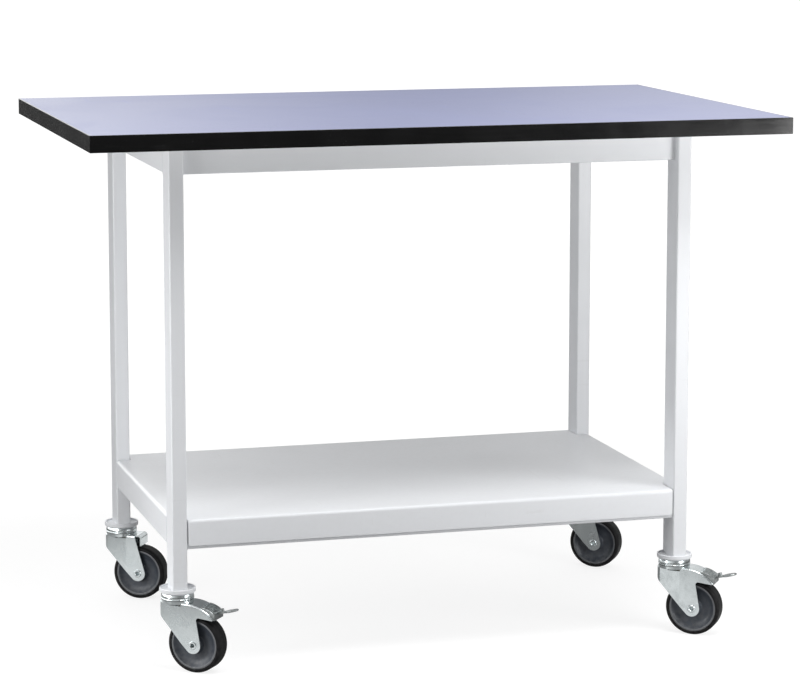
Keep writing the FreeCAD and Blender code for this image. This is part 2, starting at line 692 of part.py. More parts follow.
# ---------------------------------------------------------------- castor: brake
def pedal_arc(radius, start_x, end_x):
    """Part of the pedal's crest, between two distances behind the swivel."""
    angles = [math.degrees(math.acos((x - PIN_BACK) / radius)) for x in (start_x, end_x)]
    return arc_between(PIN_BACK, PEDAL_CENTRE, radius, *angles)


def pedal_height(radius, x):
    return rise(PEDAL_CENTRE, radius, x - PIN_BACK)


def pedal_channel():
    """The pedal's channel: a curved tread with a turned-down tail, and side skirts that run forward
    under the hood as two ears round the pin."""
    start = WINDOW_START + PEDAL_START_GAP
    ear_top = PIN_HEIGHT + EAR_EYE_RADIUS
    tail_top = V(PEDAL_END, 0, pedal_height(PEDAL_TOP_RADIUS, PEDAL_END))
    tail = V(PEDAL_END, 0, PEDAL_TAIL_HEIGHT)
    dip = V(SKIRT_DIP_BACK, 0, SKIRT_DIP_HEIGHT)
    eye = V(PIN_BACK, 0, PIN_HEIGHT - EAR_EYE_RADIUS)
    outer = widen(loop_face(
        pedal_arc(PEDAL_TOP_RADIUS, start, PEDAL_END), (tail_top, tail), (tail, dip), (dip, eye),
        arc_between(PIN_BACK, PIN_HEIGHT, EAR_EYE_RADIUS, 270, 90),
        (V(PIN_BACK, 0, ear_top), V(start, 0, ear_top)),
        (V(start, 0, ear_top), V(start, 0, pedal_height(PEDAL_TOP_RADIUS, start))),
    ), PEDAL_HALF_WIDTH)
    outer = outer.makeFillet(PEDAL_TAIL_ROUND, edges_across(outer, tail_top.x, tail_top.z))
    sides = [e for e in outer.Edges if isinstance(e.Curve, Part.Circle) and e.CenterOfMass.z > ear_top
             or abs(e.CenterOfMass.x - PEDAL_END) < 0.01]
    sides = [e for e in sides if abs(abs(e.CenterOfMass.y) - PEDAL_HALF_WIDTH) < 0.01]
    outer = outer.makeFillet(PEDAL_EDGE_ROUND, sides)
    inner = PEDAL_TOP_RADIUS - PEDAL_SHEET
    ahead = PIN_BACK - EAR_EYE_RADIUS - PEDAL_SHEET
    behind = PEDAL_END - PEDAL_SHEET
    low = PEDAL_TAIL_HEIGHT - PEDAL_SHEET
    hollow = widen(loop_face(
        pedal_arc(inner, ahead, behind),
        (V(behind, 0, pedal_height(inner, behind)), V(behind, 0, low)), (V(behind, 0, low), V(ahead, 0, low)),
        (V(ahead, 0, low), V(ahead, 0, pedal_height(inner, ahead))),
    ), PEDAL_HALF_WIDTH - EAR_SHEET)
    return outer.cut(hollow)


def pedal_ribs():
    """Raised ribs across the tread, spread evenly over its curve."""
    half = PEDAL_HALF_WIDTH - RIB_SIDE_MARGIN
    first = math.degrees(math.acos((WINDOW_START - PIN_BACK) / PEDAL_TOP_RADIUS))
    last = math.degrees(math.acos((PEDAL_END - PIN_BACK) / PEDAL_TOP_RADIUS))
    ribs = []
    for k in range(RIB_COUNT):
        angle = first + (last - first) * (k + 1) / (RIB_COUNT + 1)
        rib = block(-RIB_WIDTH / 2, RIB_WIDTH / 2, -half, half,
                    PEDAL_TOP_RADIUS - RIB_HEIGHT, PEDAL_TOP_RADIUS + RIB_HEIGHT)
        rib.rotate(V(0, 0, 0), V(0, 1, 0), 90 - angle)
        rib.translate(V(PIN_BACK, 0, PEDAL_CENTRE))
        ribs.append(rib)
    return ribs


def pedal_tongue():
    """The leaf-shaped toe tongue on its neck, tipped up, with a round knob on the neck."""
    leaf = Part.Ellipse(V(0, 0, 0), TONGUE_LEAF / 2, TONGUE_WIDTH / 2).toShape()
    leaf = Part.Face(Part.Wire(leaf)).extrude(V(0, 0, TONGUE_THICKNESS))
    leaf = leaf.makeChamfer(TONGUE_EDGE, [e for e in leaf.Edges if not isinstance(e.Curve, Part.Line)])
    leaf.translate(V(TONGUE_LENGTH - TONGUE_LEAF / 2, 0, 0))
    neck = block(-PEDAL_SHEET, TONGUE_LENGTH - TONGUE_LEAF / 2, -TONGUE_NECK / 2, TONGUE_NECK / 2,
                 0, TONGUE_THICKNESS)
    knob = cylinder(KNOB_RADIUS, TONGUE_THICKNESS + KNOB_HEIGHT, V(KNOB_REACH, 0, 0))
    tongue = leaf.fuse([neck, knob])
    tongue.rotate(V(0, 0, 0), V(0, 1, 0), -TONGUE_RISE_DEG)
    tongue.translate(V(PEDAL_END, 0, pedal_height(PEDAL_TOP_RADIUS, PEDAL_END) - PEDAL_SHEET))
    return tongue


def brake_pedal():
    pedal = pedal_channel().fuse(pedal_ribs() + [pedal_tongue()])
    return pedal.cut(across(PIN_RADIUS + RUNNING_GAP, FORK_HALF_WIDTH, PIN_BACK, PIN_HEIGHT))


def brake_shoe():
    """A rubber nose on a stem, fixed under the pedal's tread and pointing at the tyre."""
    angle = math.radians(SHOE_ANGLE_DEG)
    reach = WHEEL_RADIUS + SHOE_REST_GAP + SHOE_RADIUS
    x = TRAIL + reach * math.cos(angle)
    z = AXLE_HEIGHT + reach * math.sin(angle)
    half = SHOE_WIDTH / 2
    stem = block(x - SHOE_STEM / 2, x + SHOE_STEM / 2, -half, half, z, PEDAL_CREST)
    stem = stem.common(across(PEDAL_TOP_RADIUS - PEDAL_SHEET, half, PIN_BACK, PEDAL_CENTRE))
    return stem.fuse(across(SHOE_RADIUS, half, x, z))


def castors():
    made = {}
    plain = {"foot_plate": foot_plate(), "castor_head": castor_head(), "axle": axle(),
             "wheel_bush": wheel_bush(), "wheel_hub": wheel_hub(), "wheel_tyre": wheel_tyre()}
    brake = {"brake_pedal": brake_pedal(), "brake_shoe": brake_shoe(),
             "brake_pin": across(PIN_RADIUS, PIN_END, PIN_BACK, PIN_HEIGHT)}
    forks = {True: fork(True), False: fork(False)}
    for corner in CORNERS:
        braked = corner in BRAKED
        pieces = dict(plain, fork=forks[braked], **(brake if braked else {}))
        for name, shape in pieces.items():
            made[name + "_" + corner] = at_corner(shape, corner)
    for name, shape in (("ball_races", ball_race()), ("castor_bolts", castor_bolt())):
        made[name] = Part.Compound([at_corner(shape, corner) for corner in CORNERS])
    return made


def main():
    os.makedirs("parts", exist_ok=True)
    nodes = {}
    for group in (worktop(), edge_bands(), brackets(), legs(), rails(), shelf_tray(), castors()):
        nodes.update(group)
    for name, shape in nodes.items():
        shape.exportStep("parts/" + name + ".step")
        print(name, len(shape.Solids), shape.isValid(), round(shape.Volume))
    print(len(nodes), "nodes")


main()
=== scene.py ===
import json
import math

import bmesh
import bpy
from bpy.props import FloatProperty, FloatVectorProperty, IntProperty, PointerProperty
from mathutils import Matrix, Vector


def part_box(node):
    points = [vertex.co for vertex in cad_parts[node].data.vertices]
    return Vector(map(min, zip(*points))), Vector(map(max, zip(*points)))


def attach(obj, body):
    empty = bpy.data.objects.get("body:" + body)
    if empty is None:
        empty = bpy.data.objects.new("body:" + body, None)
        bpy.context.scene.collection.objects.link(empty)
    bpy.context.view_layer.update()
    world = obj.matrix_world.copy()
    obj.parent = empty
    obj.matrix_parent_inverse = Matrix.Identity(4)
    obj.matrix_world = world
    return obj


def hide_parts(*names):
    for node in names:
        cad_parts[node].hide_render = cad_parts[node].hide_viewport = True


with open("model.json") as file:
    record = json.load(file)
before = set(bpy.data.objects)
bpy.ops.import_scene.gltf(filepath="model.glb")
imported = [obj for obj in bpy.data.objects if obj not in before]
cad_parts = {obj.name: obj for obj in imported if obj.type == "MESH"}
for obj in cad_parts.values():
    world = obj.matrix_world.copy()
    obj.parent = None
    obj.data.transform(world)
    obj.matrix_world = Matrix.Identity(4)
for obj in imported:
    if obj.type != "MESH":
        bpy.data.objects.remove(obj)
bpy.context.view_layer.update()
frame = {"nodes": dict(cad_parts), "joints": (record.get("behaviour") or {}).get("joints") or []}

bl_info = {
    "name": "Laboratory bench dressing",
    "version": (1, 0, 0),
    "blender": (4, 5, 0),
    "location": "3D View > Sidebar > Bench",
    "description": "Finishes, wheels, welds, treads and a plain studio for a wheeled laboratory bench",
    "category": "Object",
}

MM = 0.001
CORNERS = ("fl", "fr", "bl", "br")
BRAKED = ("fl", "fr")
JOINTS = {joint["name"]: joint for joint in frame["joints"]}


# ---------------------------------------------------------------- settings
def colour(name, description, default):
    return FloatVectorProperty(
        name=name, description=description, subtype="COLOR", size=4, min=0, max=1, default=(*default, 1)
    )


def length(name, description, millimetres):
    return FloatProperty(
        name=name, description=description, default=millimetres * MM, min=0, subtype="DISTANCE", unit="LENGTH"
    )


def lengths(name, description, metres):
    return FloatVectorProperty(
        name=name, description=description, default=metres, size=len(metres), unit="LENGTH"
    )


def angle(name, description, degrees):
    return FloatProperty(name=name, description=description, default=math.radians(degrees), subtype="ANGLE")


def share(name, description, default):
    return FloatProperty(name=name, description=description, default=default, min=0, max=1)


def levels(name, description, default):
    return FloatVectorProperty(name=name, description=description, default=default, size=len(default), min=0)


def count(name, description, default, low, high):
    return IntProperty(name=name, description=description, default=default, min=low, max=high)


class BenchColours(bpy.types.PropertyGroup):
    laminate: colour("Laminate", "Lavender grey of the worktop", (0.315, 0.345, 0.565))
    fleck: colour("Fleck", "Fine darker fleck in the laminate", (0.272, 0.3, 0.5))
    edge: colour("Edge band", "Black plastic edge of the worktop", (0.0032, 0.0032, 0.0034))
    edge_scuff: colour("Edge scuffs", "Greyed scratches of the edge band", (0.02, 0.02, 0.021))
    backing: colour("Backing", "Balancing sheet under the worktop", (0.78, 0.78, 0.77))
    chip: colour("Chip", "Pale chips of the board", (0.62, 0.47, 0.31))
    chip_dark: colour("Dark chip", "Dark chips of the board", (0.38, 0.26, 0.16))
    powder: colour("Powder coat", "White coating of the frame and tray", (0.84, 0.855, 0.88))
    powder_scuff: colour("Coat scuffs", "Greyed scratches of the powder coat", (0.7, 0.7, 0.7))
    zinc: colour("Zinc", "Bright plating of the castors", (0.83, 0.88, 0.89))
    zinc_cloud: colour("Zinc cloud", "Duller patches of the plating", (0.66, 0.71, 0.72))
    pedal: colour("Pedal", "Worn plating of the brake pedals", (0.52, 0.55, 0.55))
    pedal_worn: colour("Worn pedal", "Dark worn patches of the pedals", (0.16, 0.17, 0.17))
    fastener: colour("Fasteners", "Plated screws, bolts and balls", (0.62, 0.63, 0.63))
    tarnish: colour("Tarnish", "Yellowish patches of the fasteners", (0.58, 0.56, 0.48))
    hub: colour("Hub", "Dark grey nylon of the wheel hubs", (0.048, 0.056, 0.07))
    # Lighter ring: partly wear, partly a painted highlight where the flat rim faces the light.
    hub_rim: colour("Hub rim", "Lighter ring at the edge of a hub", (0.19, 0.197, 0.21))
    rubber: colour("Rubber", "Black rubber of tyres and brake shoes", (0.0065, 0.0065, 0.007))
    # Dust colour, also painted shade: mixed in towards the floor, it darkens the low white coat and plating.
    dust: colour("Dust", "Dust that settles on low pieces", (0.46, 0.45, 0.43))


class BenchSizes(bpy.types.PropertyGroup):
    steps: count("Turning steps", "Faces round a wheel", 128, 24, 256)
    tyre_half: length("Half tyre", "Half of the tyre's width", 16)
    tyre_lip: length("Tyre lip", "Height of the tyre's lip beside the hub", 1)
    lip_round: length("Lip rounding", "Rounding of the tyre's lip", 0.6)
    shoulder: length("Tyre shoulder", "Rounding between tread and side wall", 5)
    mould_line: length("Mould line", "Depth of the two fine rings in the tread", 0.3)
    mould_width: length("Mould line width", "Width of the two fine rings in the tread", 1)
    mould_place: length("Mould line place", "Distance of the fine rings from the middle of the tread", 10)
    hub_bore: length("Hub bore", "Radius of the hub's bore", 7.1)
    boss: length("Boss", "Radius of the hub's boss", 13)
    boss_half: length("Half boss", "Half of the boss's length", 17)
    boss_slope: length("Boss slope", "Run of the boss's side down to the web", 2.2)
    boss_round: length("Boss rounding", "Rounding of the boss's edge", 0.9)
    boss_foot: length("Boss foot", "Rounding where the boss meets the web", 2.4)
    web_half: length("Half web", "Half of the web's thickness at the boss", 7.5)
    web_rise: length("Web rise", "Rise of the web from the boss to the dish", 1.2)
    dish_slope: length("Dish slope", "Run of the dish's side up to the rim", 7)
    dish_round: length("Dish rounding", "Rounding at the foot of the hub's dish", 5)
    rim_face: length("Rim face", "Width of the ring at the edge of a hub", 3.2)
    rim_half: length("Half rim", "Half of the rim's width", 15)
    rim_round: length("Rim rounding", "Rounding of the ring's inner edge", 0.9)
    rim_edge: length("Rim edge", "Rounding of the ring's outer edge", 0.5)
    head_bore: length("Head bore", "Radius of the bore through the castor head", 6.25)
    cup: length("Cup", "Height of the castor head's cup", 10)
    cup_wall: length("Cup wall", "Wall of the castor head's cup", 3)
    cup_taper: length("Cup taper", "Taper of the cup towards its top", 1.5)
    bulge: length("Bulge", "Height of the cup's widest ring", 4.6)
    neck: length("Neck", "Depth of the groove above the cup's lip", 0.9)
    neck_top: length("Neck top", "Height of the groove's upper end", 2.6)
    lip: length("Lip", "Height of the cup's rolled lip", 1.4)
    king: length("King tube", "Radius of the tube that carries the castor head", 10)
    flare: length("Flare", "Radius of the king tube's flared end", 12.5)
    flare_tall: length("Flare height", "Height of the king tube's flared end", 1.6)
    sheet: length("Sheet", "Thickness of the tray's sheet", 1.5)
    fold: length("Fold", "Rounding of the tray's folds", 6.5)
    flange_round: length("Flange rounding", "Rounding of the flanges' lower corners", 3)
    leg_gap: length("Leg gap", "Gap between the tray's notches and the legs", 2)
    weld: length("Weld bead", "Radius of a weld bead", 1.7)
    weld_length: length("Weld length", "Length of one bead", 25)
    ripples: count("Ripples", "Ripples in one bead", 12, 4, 40)
    stud: length("Stud", "Width of a stud on the pedal", 1.9)
    stud_height: length("Stud height", "Height of a stud above the tread", 0.55)
    stud_pitch: length("Stud pitch", "Distance of the studs in a row", 2.3)
    stud_rows: count("Stud rows", "Rows of studs on a tread", 10, 2, 30)
    stud_columns: count("Stud columns", "Studs in a row", 12, 2, 30)
    stud_first: length("First row", "Distance of the first row of studs behind the tread's middle", 6.5)
    stud_last: length("Last row", "Distance of the last row of studs behind the tread's middle", 28.5)
    tread_crest: length("Tread crest", "Height of the pedal's tread at its crest", 114.9)
    tread_radius: length("Tread radius", "Radius of the pedal's tread", 45)
    tread_middle: length("Tread middle", "Distance of the tread's middle behind the swivel", 46)
    screw_head: length("Screw head", "Radius of a worktop screw's head", 4)
    screw_shank: length("Screw shank", "Radius of a worktop screw's shank", 1.95)
    screw_rim: length("Screw rim", "Width of the ring round a screw's recess", 0.9)
    shank_rim: length("Shank rim", "Width of the ring at a shank's end", 0.8)
    bracket_plate: length("Bracket plate", "Thickness of the plate under a screw's head", 2)


class BenchStudio(bpy.types.PropertyGroup):
    lens: FloatProperty(
        name="Lens", description="Focal length in millimetres", default=132.2, min=20, max=300
    )
    shift: FloatProperty(
        name="Shift", description="Vertical shift of the frame", default=-0.1, min=-0.3, max=0.3
    )
    turn: angle("Turn", "Heading of the camera", -15.867)
    tilt: angle("Tilt", "Downward tilt of the camera", 7.972)
    place: lengths("Place", "Place of the camera", (-1.392, -4.9532, 1.3488))
    floor: length("Floor", "Width of the floor", 60000)
    floor_drop: length("Floor drop", "Depth of the floor under the tyres", 0.2)
    floor_plain: colour("Plain floor", "What the floor throws back as light", (0.35, 0.35, 0.35))
    floor_soft: colour("Soft floor", "What the floor shows of shadows to the eye", (0.25, 0.25, 0.25))
    footprint: lengths("Footprint", "Half of the floor that the castors stand round", (0.45, 0.28, 0))
    fill: levels("Fill", "Soft light from the left, right, front, back and above", (0.22, 0.4, 0.0, 1.5, 0.5))
    shine: levels("Shine", "The same five sides, as reflections see them", (1.4, 0.32, 0.25, 0.25, 0.1))
    wings: levels("Wings", "What reflections see behind, left and right of a darker gap", (1.65, 0.65))
    gap: angle("Gap", "Heading of the gap behind", 16)
    floor_shine: share("Floor shine", "Brightness of the floor's pool of light in reflections", 0.85)
    under_shine: share("Shine below", "Share of the floor shine that is left under the bench", 0.25)
    far_shine: share("Far shine", "Brightness of the floor in reflections beyond the pool", 0.08)
    pool: lengths("Pool", "Where the pool begins and ends beyond the footprint", (0.1, 0.75))
    pale: levels("Pale", "Glow of the floor for the eye, near and far", (0.82, 0.97))
    pale_run: lengths("Paling", "Where the near glow ends and the far glow begins", (0.2, 2.4))


def colours():
    return bpy.context.scene.bench_colours


def sizes():
    return bpy.context.scene.bench_sizes


# ---------------------------------------------------------------- modelling tools
def clear():
    """Leaves edit mode with nothing selected."""
    if bpy.context.mode != "OBJECT":
        bpy.ops.object.mode_set(mode="OBJECT")
    bpy.ops.object.select_all(action="DESELECT")


def start(name, add, **settings):
    """Adds a primitive under its name and opens its mesh, all selected."""
    clear()
    add(**settings)
    piece = bpy.context.object
    piece.name = name
    piece.data.name = name
    bpy.ops.object.mode_set(mode="EDIT")
    bpy.ops.mesh.select_all(action="SELECT")
    return piece


def pick(kind, test):
    """Selects the parts of the open mesh whose middle and normal pass the test."""
    bpy.ops.mesh.select_mode(type=kind)
    bpy.ops.mesh.select_all(action="DESELECT")
    mesh = bmesh.from_edit_mesh(bpy.context.object.data)
    mesh.normal_update()
    for part in {"VERT": mesh.verts, "EDGE": mesh.edges, "FACE": mesh.faces}[kind]:
        corners = [part] if kind == "VERT" else part.verts
        middle = sum((c.co for c in corners), Vector()) / len(corners)
        normal = sum((c.normal for c in corners), Vector()) if kind == "EDGE" else part.normal
        part.select_set(test(middle, normal))
    mesh.select_flush_mode()
    bmesh.update_edit_mesh(bpy.context.object.data)


def draw_outline(name, points):
    """Draws a closed outline point by point and fills it."""
    piece = start(name, bpy.ops.mesh.primitive_plane_add, size=MM)
    bpy.ops.mesh.select_mode(type="VERT")
    bpy.ops.mesh.merge(type="CENTER")
    bpy.ops.transform.translate(value=points[0])
    for here, there in zip(points, points[1:] + points[:1]):
        bpy.ops.mesh.extrude_region_move(TRANSFORM_OT_translate={"value": Vector(there) - Vector(here)})
    bpy.ops.mesh.select_all(action="SELECT")
    bpy.ops.mesh.remove_doubles(threshold=0.01 * MM)
    bpy.ops.mesh.edge_face_add()
    return piece


def round_corners(places, radius, segments):
    """Rounds the outline's corners that lie at the places."""
    pick("VERT", lambda middle, _: any((middle - Vector(p)).length < 0.05 * MM for p in places))
    bpy.ops.mesh.bevel(offset=radius, segments=segments, affect="VERTICES")


def turn_outline(steps):
    """Turns the filled outline once round the Y axis into a closed ring."""
    bpy.ops.mesh.select_mode(type="FACE")
    bpy.ops.mesh.select_all(action="SELECT")
    bpy.ops.mesh.delete(type="ONLY_FACE")
    bpy.ops.mesh.select_mode(type="VERT")
    bpy.ops.mesh.select_all(action="SELECT")
    bpy.ops.mesh.spin(steps=steps, angle=math.tau, center=(0, 0, 0), axis=(0, 1, 0))
    bpy.ops.mesh.select_all(action="SELECT")
    bpy.ops.mesh.remove_doubles(threshold=0.001 * MM)
    bpy.ops.mesh.normals_make_consistent(inside=False)


def smooth(piece, degrees):
    clear()
    bpy.context.view_layer.objects.active = piece
    piece.select_set(True)
    bpy.ops.object.shade_smooth_by_angle(angle=math.radians(degrees))


def duplicate(piece, name, place):
    """A copy with its own mesh, its place kept in the mesh."""
    made = piece.copy()
    made.data = piece.data.copy()
    made.name = name
    made.data.name = name
    bpy.context.scene.collection.objects.link(made)
    settle(made, place)
    return made


def settle(piece, place):
    clear()
    piece.matrix_world = place
    bpy.context.view_layer.objects.active = piece
    piece.select_set(True)
    bpy.ops.object.transform_apply(location=True, rotation=True, scale=True)


def join(pieces, name):
    clear()
    for piece in pieces:
        piece.select_set(True)
    bpy.context.view_layer.objects.active = pieces[0]
    bpy.ops.object.join()
    pieces[0].name = name
    pieces[0].data.name = name
    return pieces[0]


def discard(piece):
    clear()
    bpy.data.objects.remove(piece)


def hand_over(piece, body, slot, *replaced):
    """Gives a finished piece its body and hides the nodes that it stands for. The slot is not used."""
    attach(piece, body)
    if replaced:
        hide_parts(*replaced)


def wheel_radius(node):
    """Half the height of a node that is turned about a castor's axle."""
    low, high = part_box(node)
    return (high.z - low.z) / 2


def castor_turn(corner):
    """Turns a castor's own directions (backwards, along the axle, up) to where they point."""
    along = Vector(JOINTS[f"roll_{corner}"]["axis"])
    back = along.cross(Vector((0, 0, 1)))
    return Matrix((back, along, (0, 0, 1))).transposed().to_4x4()


def wheel_place(corner):
    return Matrix.Translation(JOINTS[f"roll_{corner}"]["pos_m"]) @ castor_turn(corner)


def castor_place(corner):
    x, y, _ = JOINTS[f"swivel_{corner}"]["pos_m"]
    return Matrix.Translation((x, y, 0)) @ castor_turn(corner)


# ---------------------------------------------------------------- shader tools
def put(tree, kind, feeds=None, **settings):
    """Adds a node with its settings, and feeds its inputs with values or with other nodes' outputs."""
    node = tree.nodes.new("ShaderNode" + kind)
    for name, value in settings.items():
        setattr(node, name, value)
    for socket, value in (feeds or {}).items():
        if isinstance(value, bpy.types.NodeSocket):
            tree.links.new(value, node.inputs[socket])
        else:
            node.inputs[socket].default_value = value
    return node


def mixed(tree, mask, low, high):
    return put(tree, "Mix", {0: mask, 6: low, 7: high}, data_type="RGBA").outputs[2]


def ranged(tree, value, low, high, to_low=0.0, to_high=1.0, shape="LINEAR"):
    feeds = {"Value": value, "From Min": low, "From Max": high, "To Min": to_low, "To Max": to_high}
    return put(tree, "MapRange", feeds, interpolation_type=shape).outputs["Result"]


def reckoned(tree, operation, one, other):
    return put(tree, "Math", {0: one, 1: other}, operation=operation).outputs[0]


def noise(tree, place, pitch, detail):
    return put(tree, "TexNoise", {"Vector": place, "Scale": pitch, "Detail": detail}).outputs[0]


def effect(name, inputs, outputs):
    """A node group with its sockets, ready to be filled, and the nodes at its two ends."""
    group = bpy.data.node_groups.new(name, "ShaderNodeTree")
    for socket, kind, value in inputs:
        made = group.interface.new_socket(socket, in_out="INPUT", socket_type="NodeSocket" + kind)
        if value is not None:
            made.default_value = value
    for socket in outputs:
        group.interface.new_socket(socket, in_out="OUTPUT", socket_type="NodeSocketFloat")
    return group, group.nodes.new("NodeGroupInput").outputs, group.nodes.new("NodeGroupOutput").inputs


def grain_effect():
    """Fine texture, drawn out along a direction where Stretch is small."""
    group, given, result = effect(
        "fine_grain",
        (("Place", "Vector", None), ("Pitch", "Float", 900), ("Stretch", "Vector", (1, 1, 1))),
        ("Tone", "Height"),
    )
    drawn = put(group, "Mapping", {"Vector": given["Place"], "Scale": given["Stretch"]}).outputs[0]
    tone = noise(group, drawn, given["Pitch"], 3.0)
    coarse = reckoned(group, "MULTIPLY", given["Pitch"], 0.43)
    feeds = {"Vector": drawn, "Scale": coarse, "Detail": 4.0, "Roughness": 0.6}
    height = put(group, "TexNoise", feeds).outputs[0]
    group.links.new(ranged(group, tone, 0.3, 0.7), result["Tone"])
    group.links.new(height, result["Height"])
    return group


def cloud_effect():
    """Soft patches, as in plating or a handled coat."""
    group, given, result = effect(
        "soft_clouds",
        (("Place", "Vector", None), ("Pitch", "Float", 12), ("Low", "Float", 0.4), ("High", "Float", 0.65)),
        ("Mask",),
    )
    feeds = {"Vector": given["Place"], "Scale": given["Pitch"], "Detail": 5.0, "Distortion": 0.6}
    patches = put(group, "TexNoise", feeds).outputs[0]
    group.links.new(ranged(group, patches, given["Low"], given["High"], shape="SMOOTHSTEP"), result["Mask"])
    return group


def scuff_effect():
    """Fine scratches that run two ways, thinned out by patches."""
    group, given, result = effect(
        "fine_scuffs", (("Place", "Vector", None), ("Pitch", "Float", 60), ("Cover", "Float", 0.5)), ("Mask",)
    )
    runs = []
    for turn, stretch in ((0.6, (1.0, 0.03, 0.4)), (2.1, (0.04, 1.0, 0.5))):
        feeds = {"Vector": given["Place"], "Rotation": (0.2, 0.1, turn), "Scale": stretch}
        drawn = put(group, "Mapping", feeds).outputs[0]
        fine = reckoned(group, "MULTIPLY", given["Pitch"], 14.0)
        lines = noise(group, drawn, fine, 1.0)
        runs.append(ranged(group, lines, 0.68, 0.74))
    both = reckoned(group, "MAXIMUM", *runs)
    patches = noise(group, given["Place"], given["Pitch"], 1.0)
    thinned = reckoned(group, "MULTIPLY", both, ranged(group, patches, 0.5, 0.62))
    group.links.new(reckoned(group, "MULTIPLY", thinned, given["Cover"]), result["Mask"])
    return group


def dust_and_low_shade_effect():
    """Dust and painted shade: a tint that grows towards the floor and on faces that look up; on pale finishes
    it darkens the low pieces.
    """
    group, given, result = effect(
        "dust_and_low_shade", (("Place", "Vector", None), ("Top", "Float", 0.3), ("Cover", "Float", 0.2)), ("Mask",)
    )
    height = put(group, "SeparateXYZ", {0: given["Place"]}).outputs["Z"]
    low = reckoned(group, "DIVIDE", height, given["Top"])
    near_floor = ranged(group, low, 0.0, 1.0, 1.0, 0.0, shape="SMOOTHSTEP")
    normal = put(group, "NewGeometry").outputs["Normal"]
    upward = ranged(group, put(group, "SeparateXYZ", {0: normal}).outputs["Z"], -0.2, 1.0, 0.35, 1.0)
    mottle = noise(group, given["Place"], 140.0, 6.0)
    amount = reckoned(group, "MULTIPLY", near_floor, upward)
    amount = reckoned(group, "MULTIPLY", amount, ranged(group, mottle, 0.38, 0.7))
    group.links.new(reckoned(group, "MULTIPLY", amount, given["Cover"]), result["Mask"])
    return group


class Finish:
    """A material that is being mixed: a base colour, then effects laid over its colour and roughness."""

    def __init__(self, name, colour, rough, metallic=0.0, specular=0.5):
        self.material = bpy.data.materials.new(f"finish_{name}")
        self.material.use_nodes = True
        self.tree = self.material.node_tree
        self.shader = self.tree.nodes["Principled BSDF"]
        self.shader.inputs["Metallic"].default_value = metallic
        self.shader.inputs["Specular IOR Level"].default_value = specular
        self.place = put(self.tree, "TexCoord").outputs["Object"]
        self.colour = tuple(colour)
        self.rough = rough
        self.heights = []

    def effect(self, name, **values):
        node = put(self.tree, "Group", node_tree=bpy.data.node_groups[name])
        self.tree.links.new(self.place, node.inputs["Place"])
        for socket, value in values.items():
            node.inputs[socket].default_value = value
        return node.outputs

    def lay(self, mask, colour=None, rough=0.0):
        """Lays a colour over the last one by the mask, and adds to the roughness by it."""
        if colour:
            self.colour = mixed(self.tree, mask, self.colour, tuple(colour))
        if rough:
            self.rough = reckoned(self.tree, "ADD", self.rough, reckoned(self.tree, "MULTIPLY", mask, rough))

    def emboss(self, height, depth):
        self.heights.append(reckoned(self.tree, "MULTIPLY", height, depth))

    def done(self):
        """Feeds the shader and gives the material."""
        for socket, value in (("Base Color", self.colour), ("Roughness", self.rough)):
            if isinstance(value, bpy.types.NodeSocket):
                self.tree.links.new(value, self.shader.inputs[socket])
            else:
                self.shader.inputs[socket].default_value = value
        if self.heights:
            total = self.heights[0]
            for height in self.heights[1:]:
                total = reckoned(self.tree, "ADD", total, height)
            bump = put(self.tree, "Bump", {"Height": total, "Strength": 1.0, "Distance": 1.0})
            self.tree.links.new(bump.outputs[0], self.shader.inputs["Normal"])
        return self.material


def shade(colour, share):
    """The colour made lighter or darker by a share."""
    return tuple(min(1.0, c * share) for c in colour[:3]) + (1.0,)


# ---------------------------------------------------------------- finishes
def laminate_finish():
    tint = colours()
    mix = Finish("laminate", tint.laminate, 0.27, specular=0.42)
    grain = mix.effect("fine_grain", Pitch=1300)
    mix.lay(grain["Tone"], shade(tint.laminate, 0.93), 0.05)
    flecks = ranged(mix.tree, noise(mix.tree, mix.place, 620, 2.0), 0.6, 0.68)
    mix.lay(flecks, tint.fleck)
    mix.lay(mix.effect("soft_clouds", Pitch=5)["Mask"], None, 0.03)
    mix.lay(mix.effect("fine_scuffs", Pitch=9, Cover=0.5)["Mask"], shade(tint.laminate, 1.2), 0.12)
    mix.emboss(grain["Height"], 0.03 * MM)
    return mix.done()


def board_finish():
    tint = colours()
    mix = Finish("board", tint.chip, 0.8)
    cells = put(mix.tree, "TexVoronoi", {"Vector": mix.place, "Scale": 260.0})
    shades = put(mix.tree, "SeparateColor", {0: cells.outputs["Color"]}).outputs[0]
    mix.lay(ranged(mix.tree, shades, 0.3, 0.9), tint.chip_dark)
    grain = mix.effect("fine_grain", Pitch=900, Stretch=(1, 1, 0.3))
    mix.lay(grain["Tone"], shade(tint.chip, 0.75))
    mix.emboss(cells.outputs["Distance"], 0.2 * MM)
    mix.emboss(grain["Height"], 0.1 * MM)
    return mix.done()


def backing_finish():
    tint = colours()
    mix = Finish("backing", tint.backing, 0.45)
    grain = mix.effect("fine_grain", Pitch=1100)
    mix.lay(grain["Tone"], shade(tint.backing, 0.96), 0.06)
    mix.lay(mix.effect("soft_clouds", Pitch=6)["Mask"], shade(tint.backing, 0.97), 0.04)
    mix.emboss(grain["Height"], 0.02 * MM)
    return mix.done()


def edge_finish():
    tint = colours()
    mix = Finish("edge_band", tint.edge, 0.15, specular=0.52)
    drawn = mix.effect("fine_grain", Pitch=1500, Stretch=(0.01, 0.01, 1))
    mix.lay(drawn["Tone"], shade(tint.edge, 1.6), 0.06)
    mix.lay(mix.effect("soft_clouds", Pitch=14)["Mask"], None, 0.05)
    mix.lay(mix.effect("fine_scuffs", Pitch=20, Cover=0.25)["Mask"], tint.edge_scuff, 0.15)
    mix.emboss(drawn["Height"], 0.012 * MM)
    return mix.done()


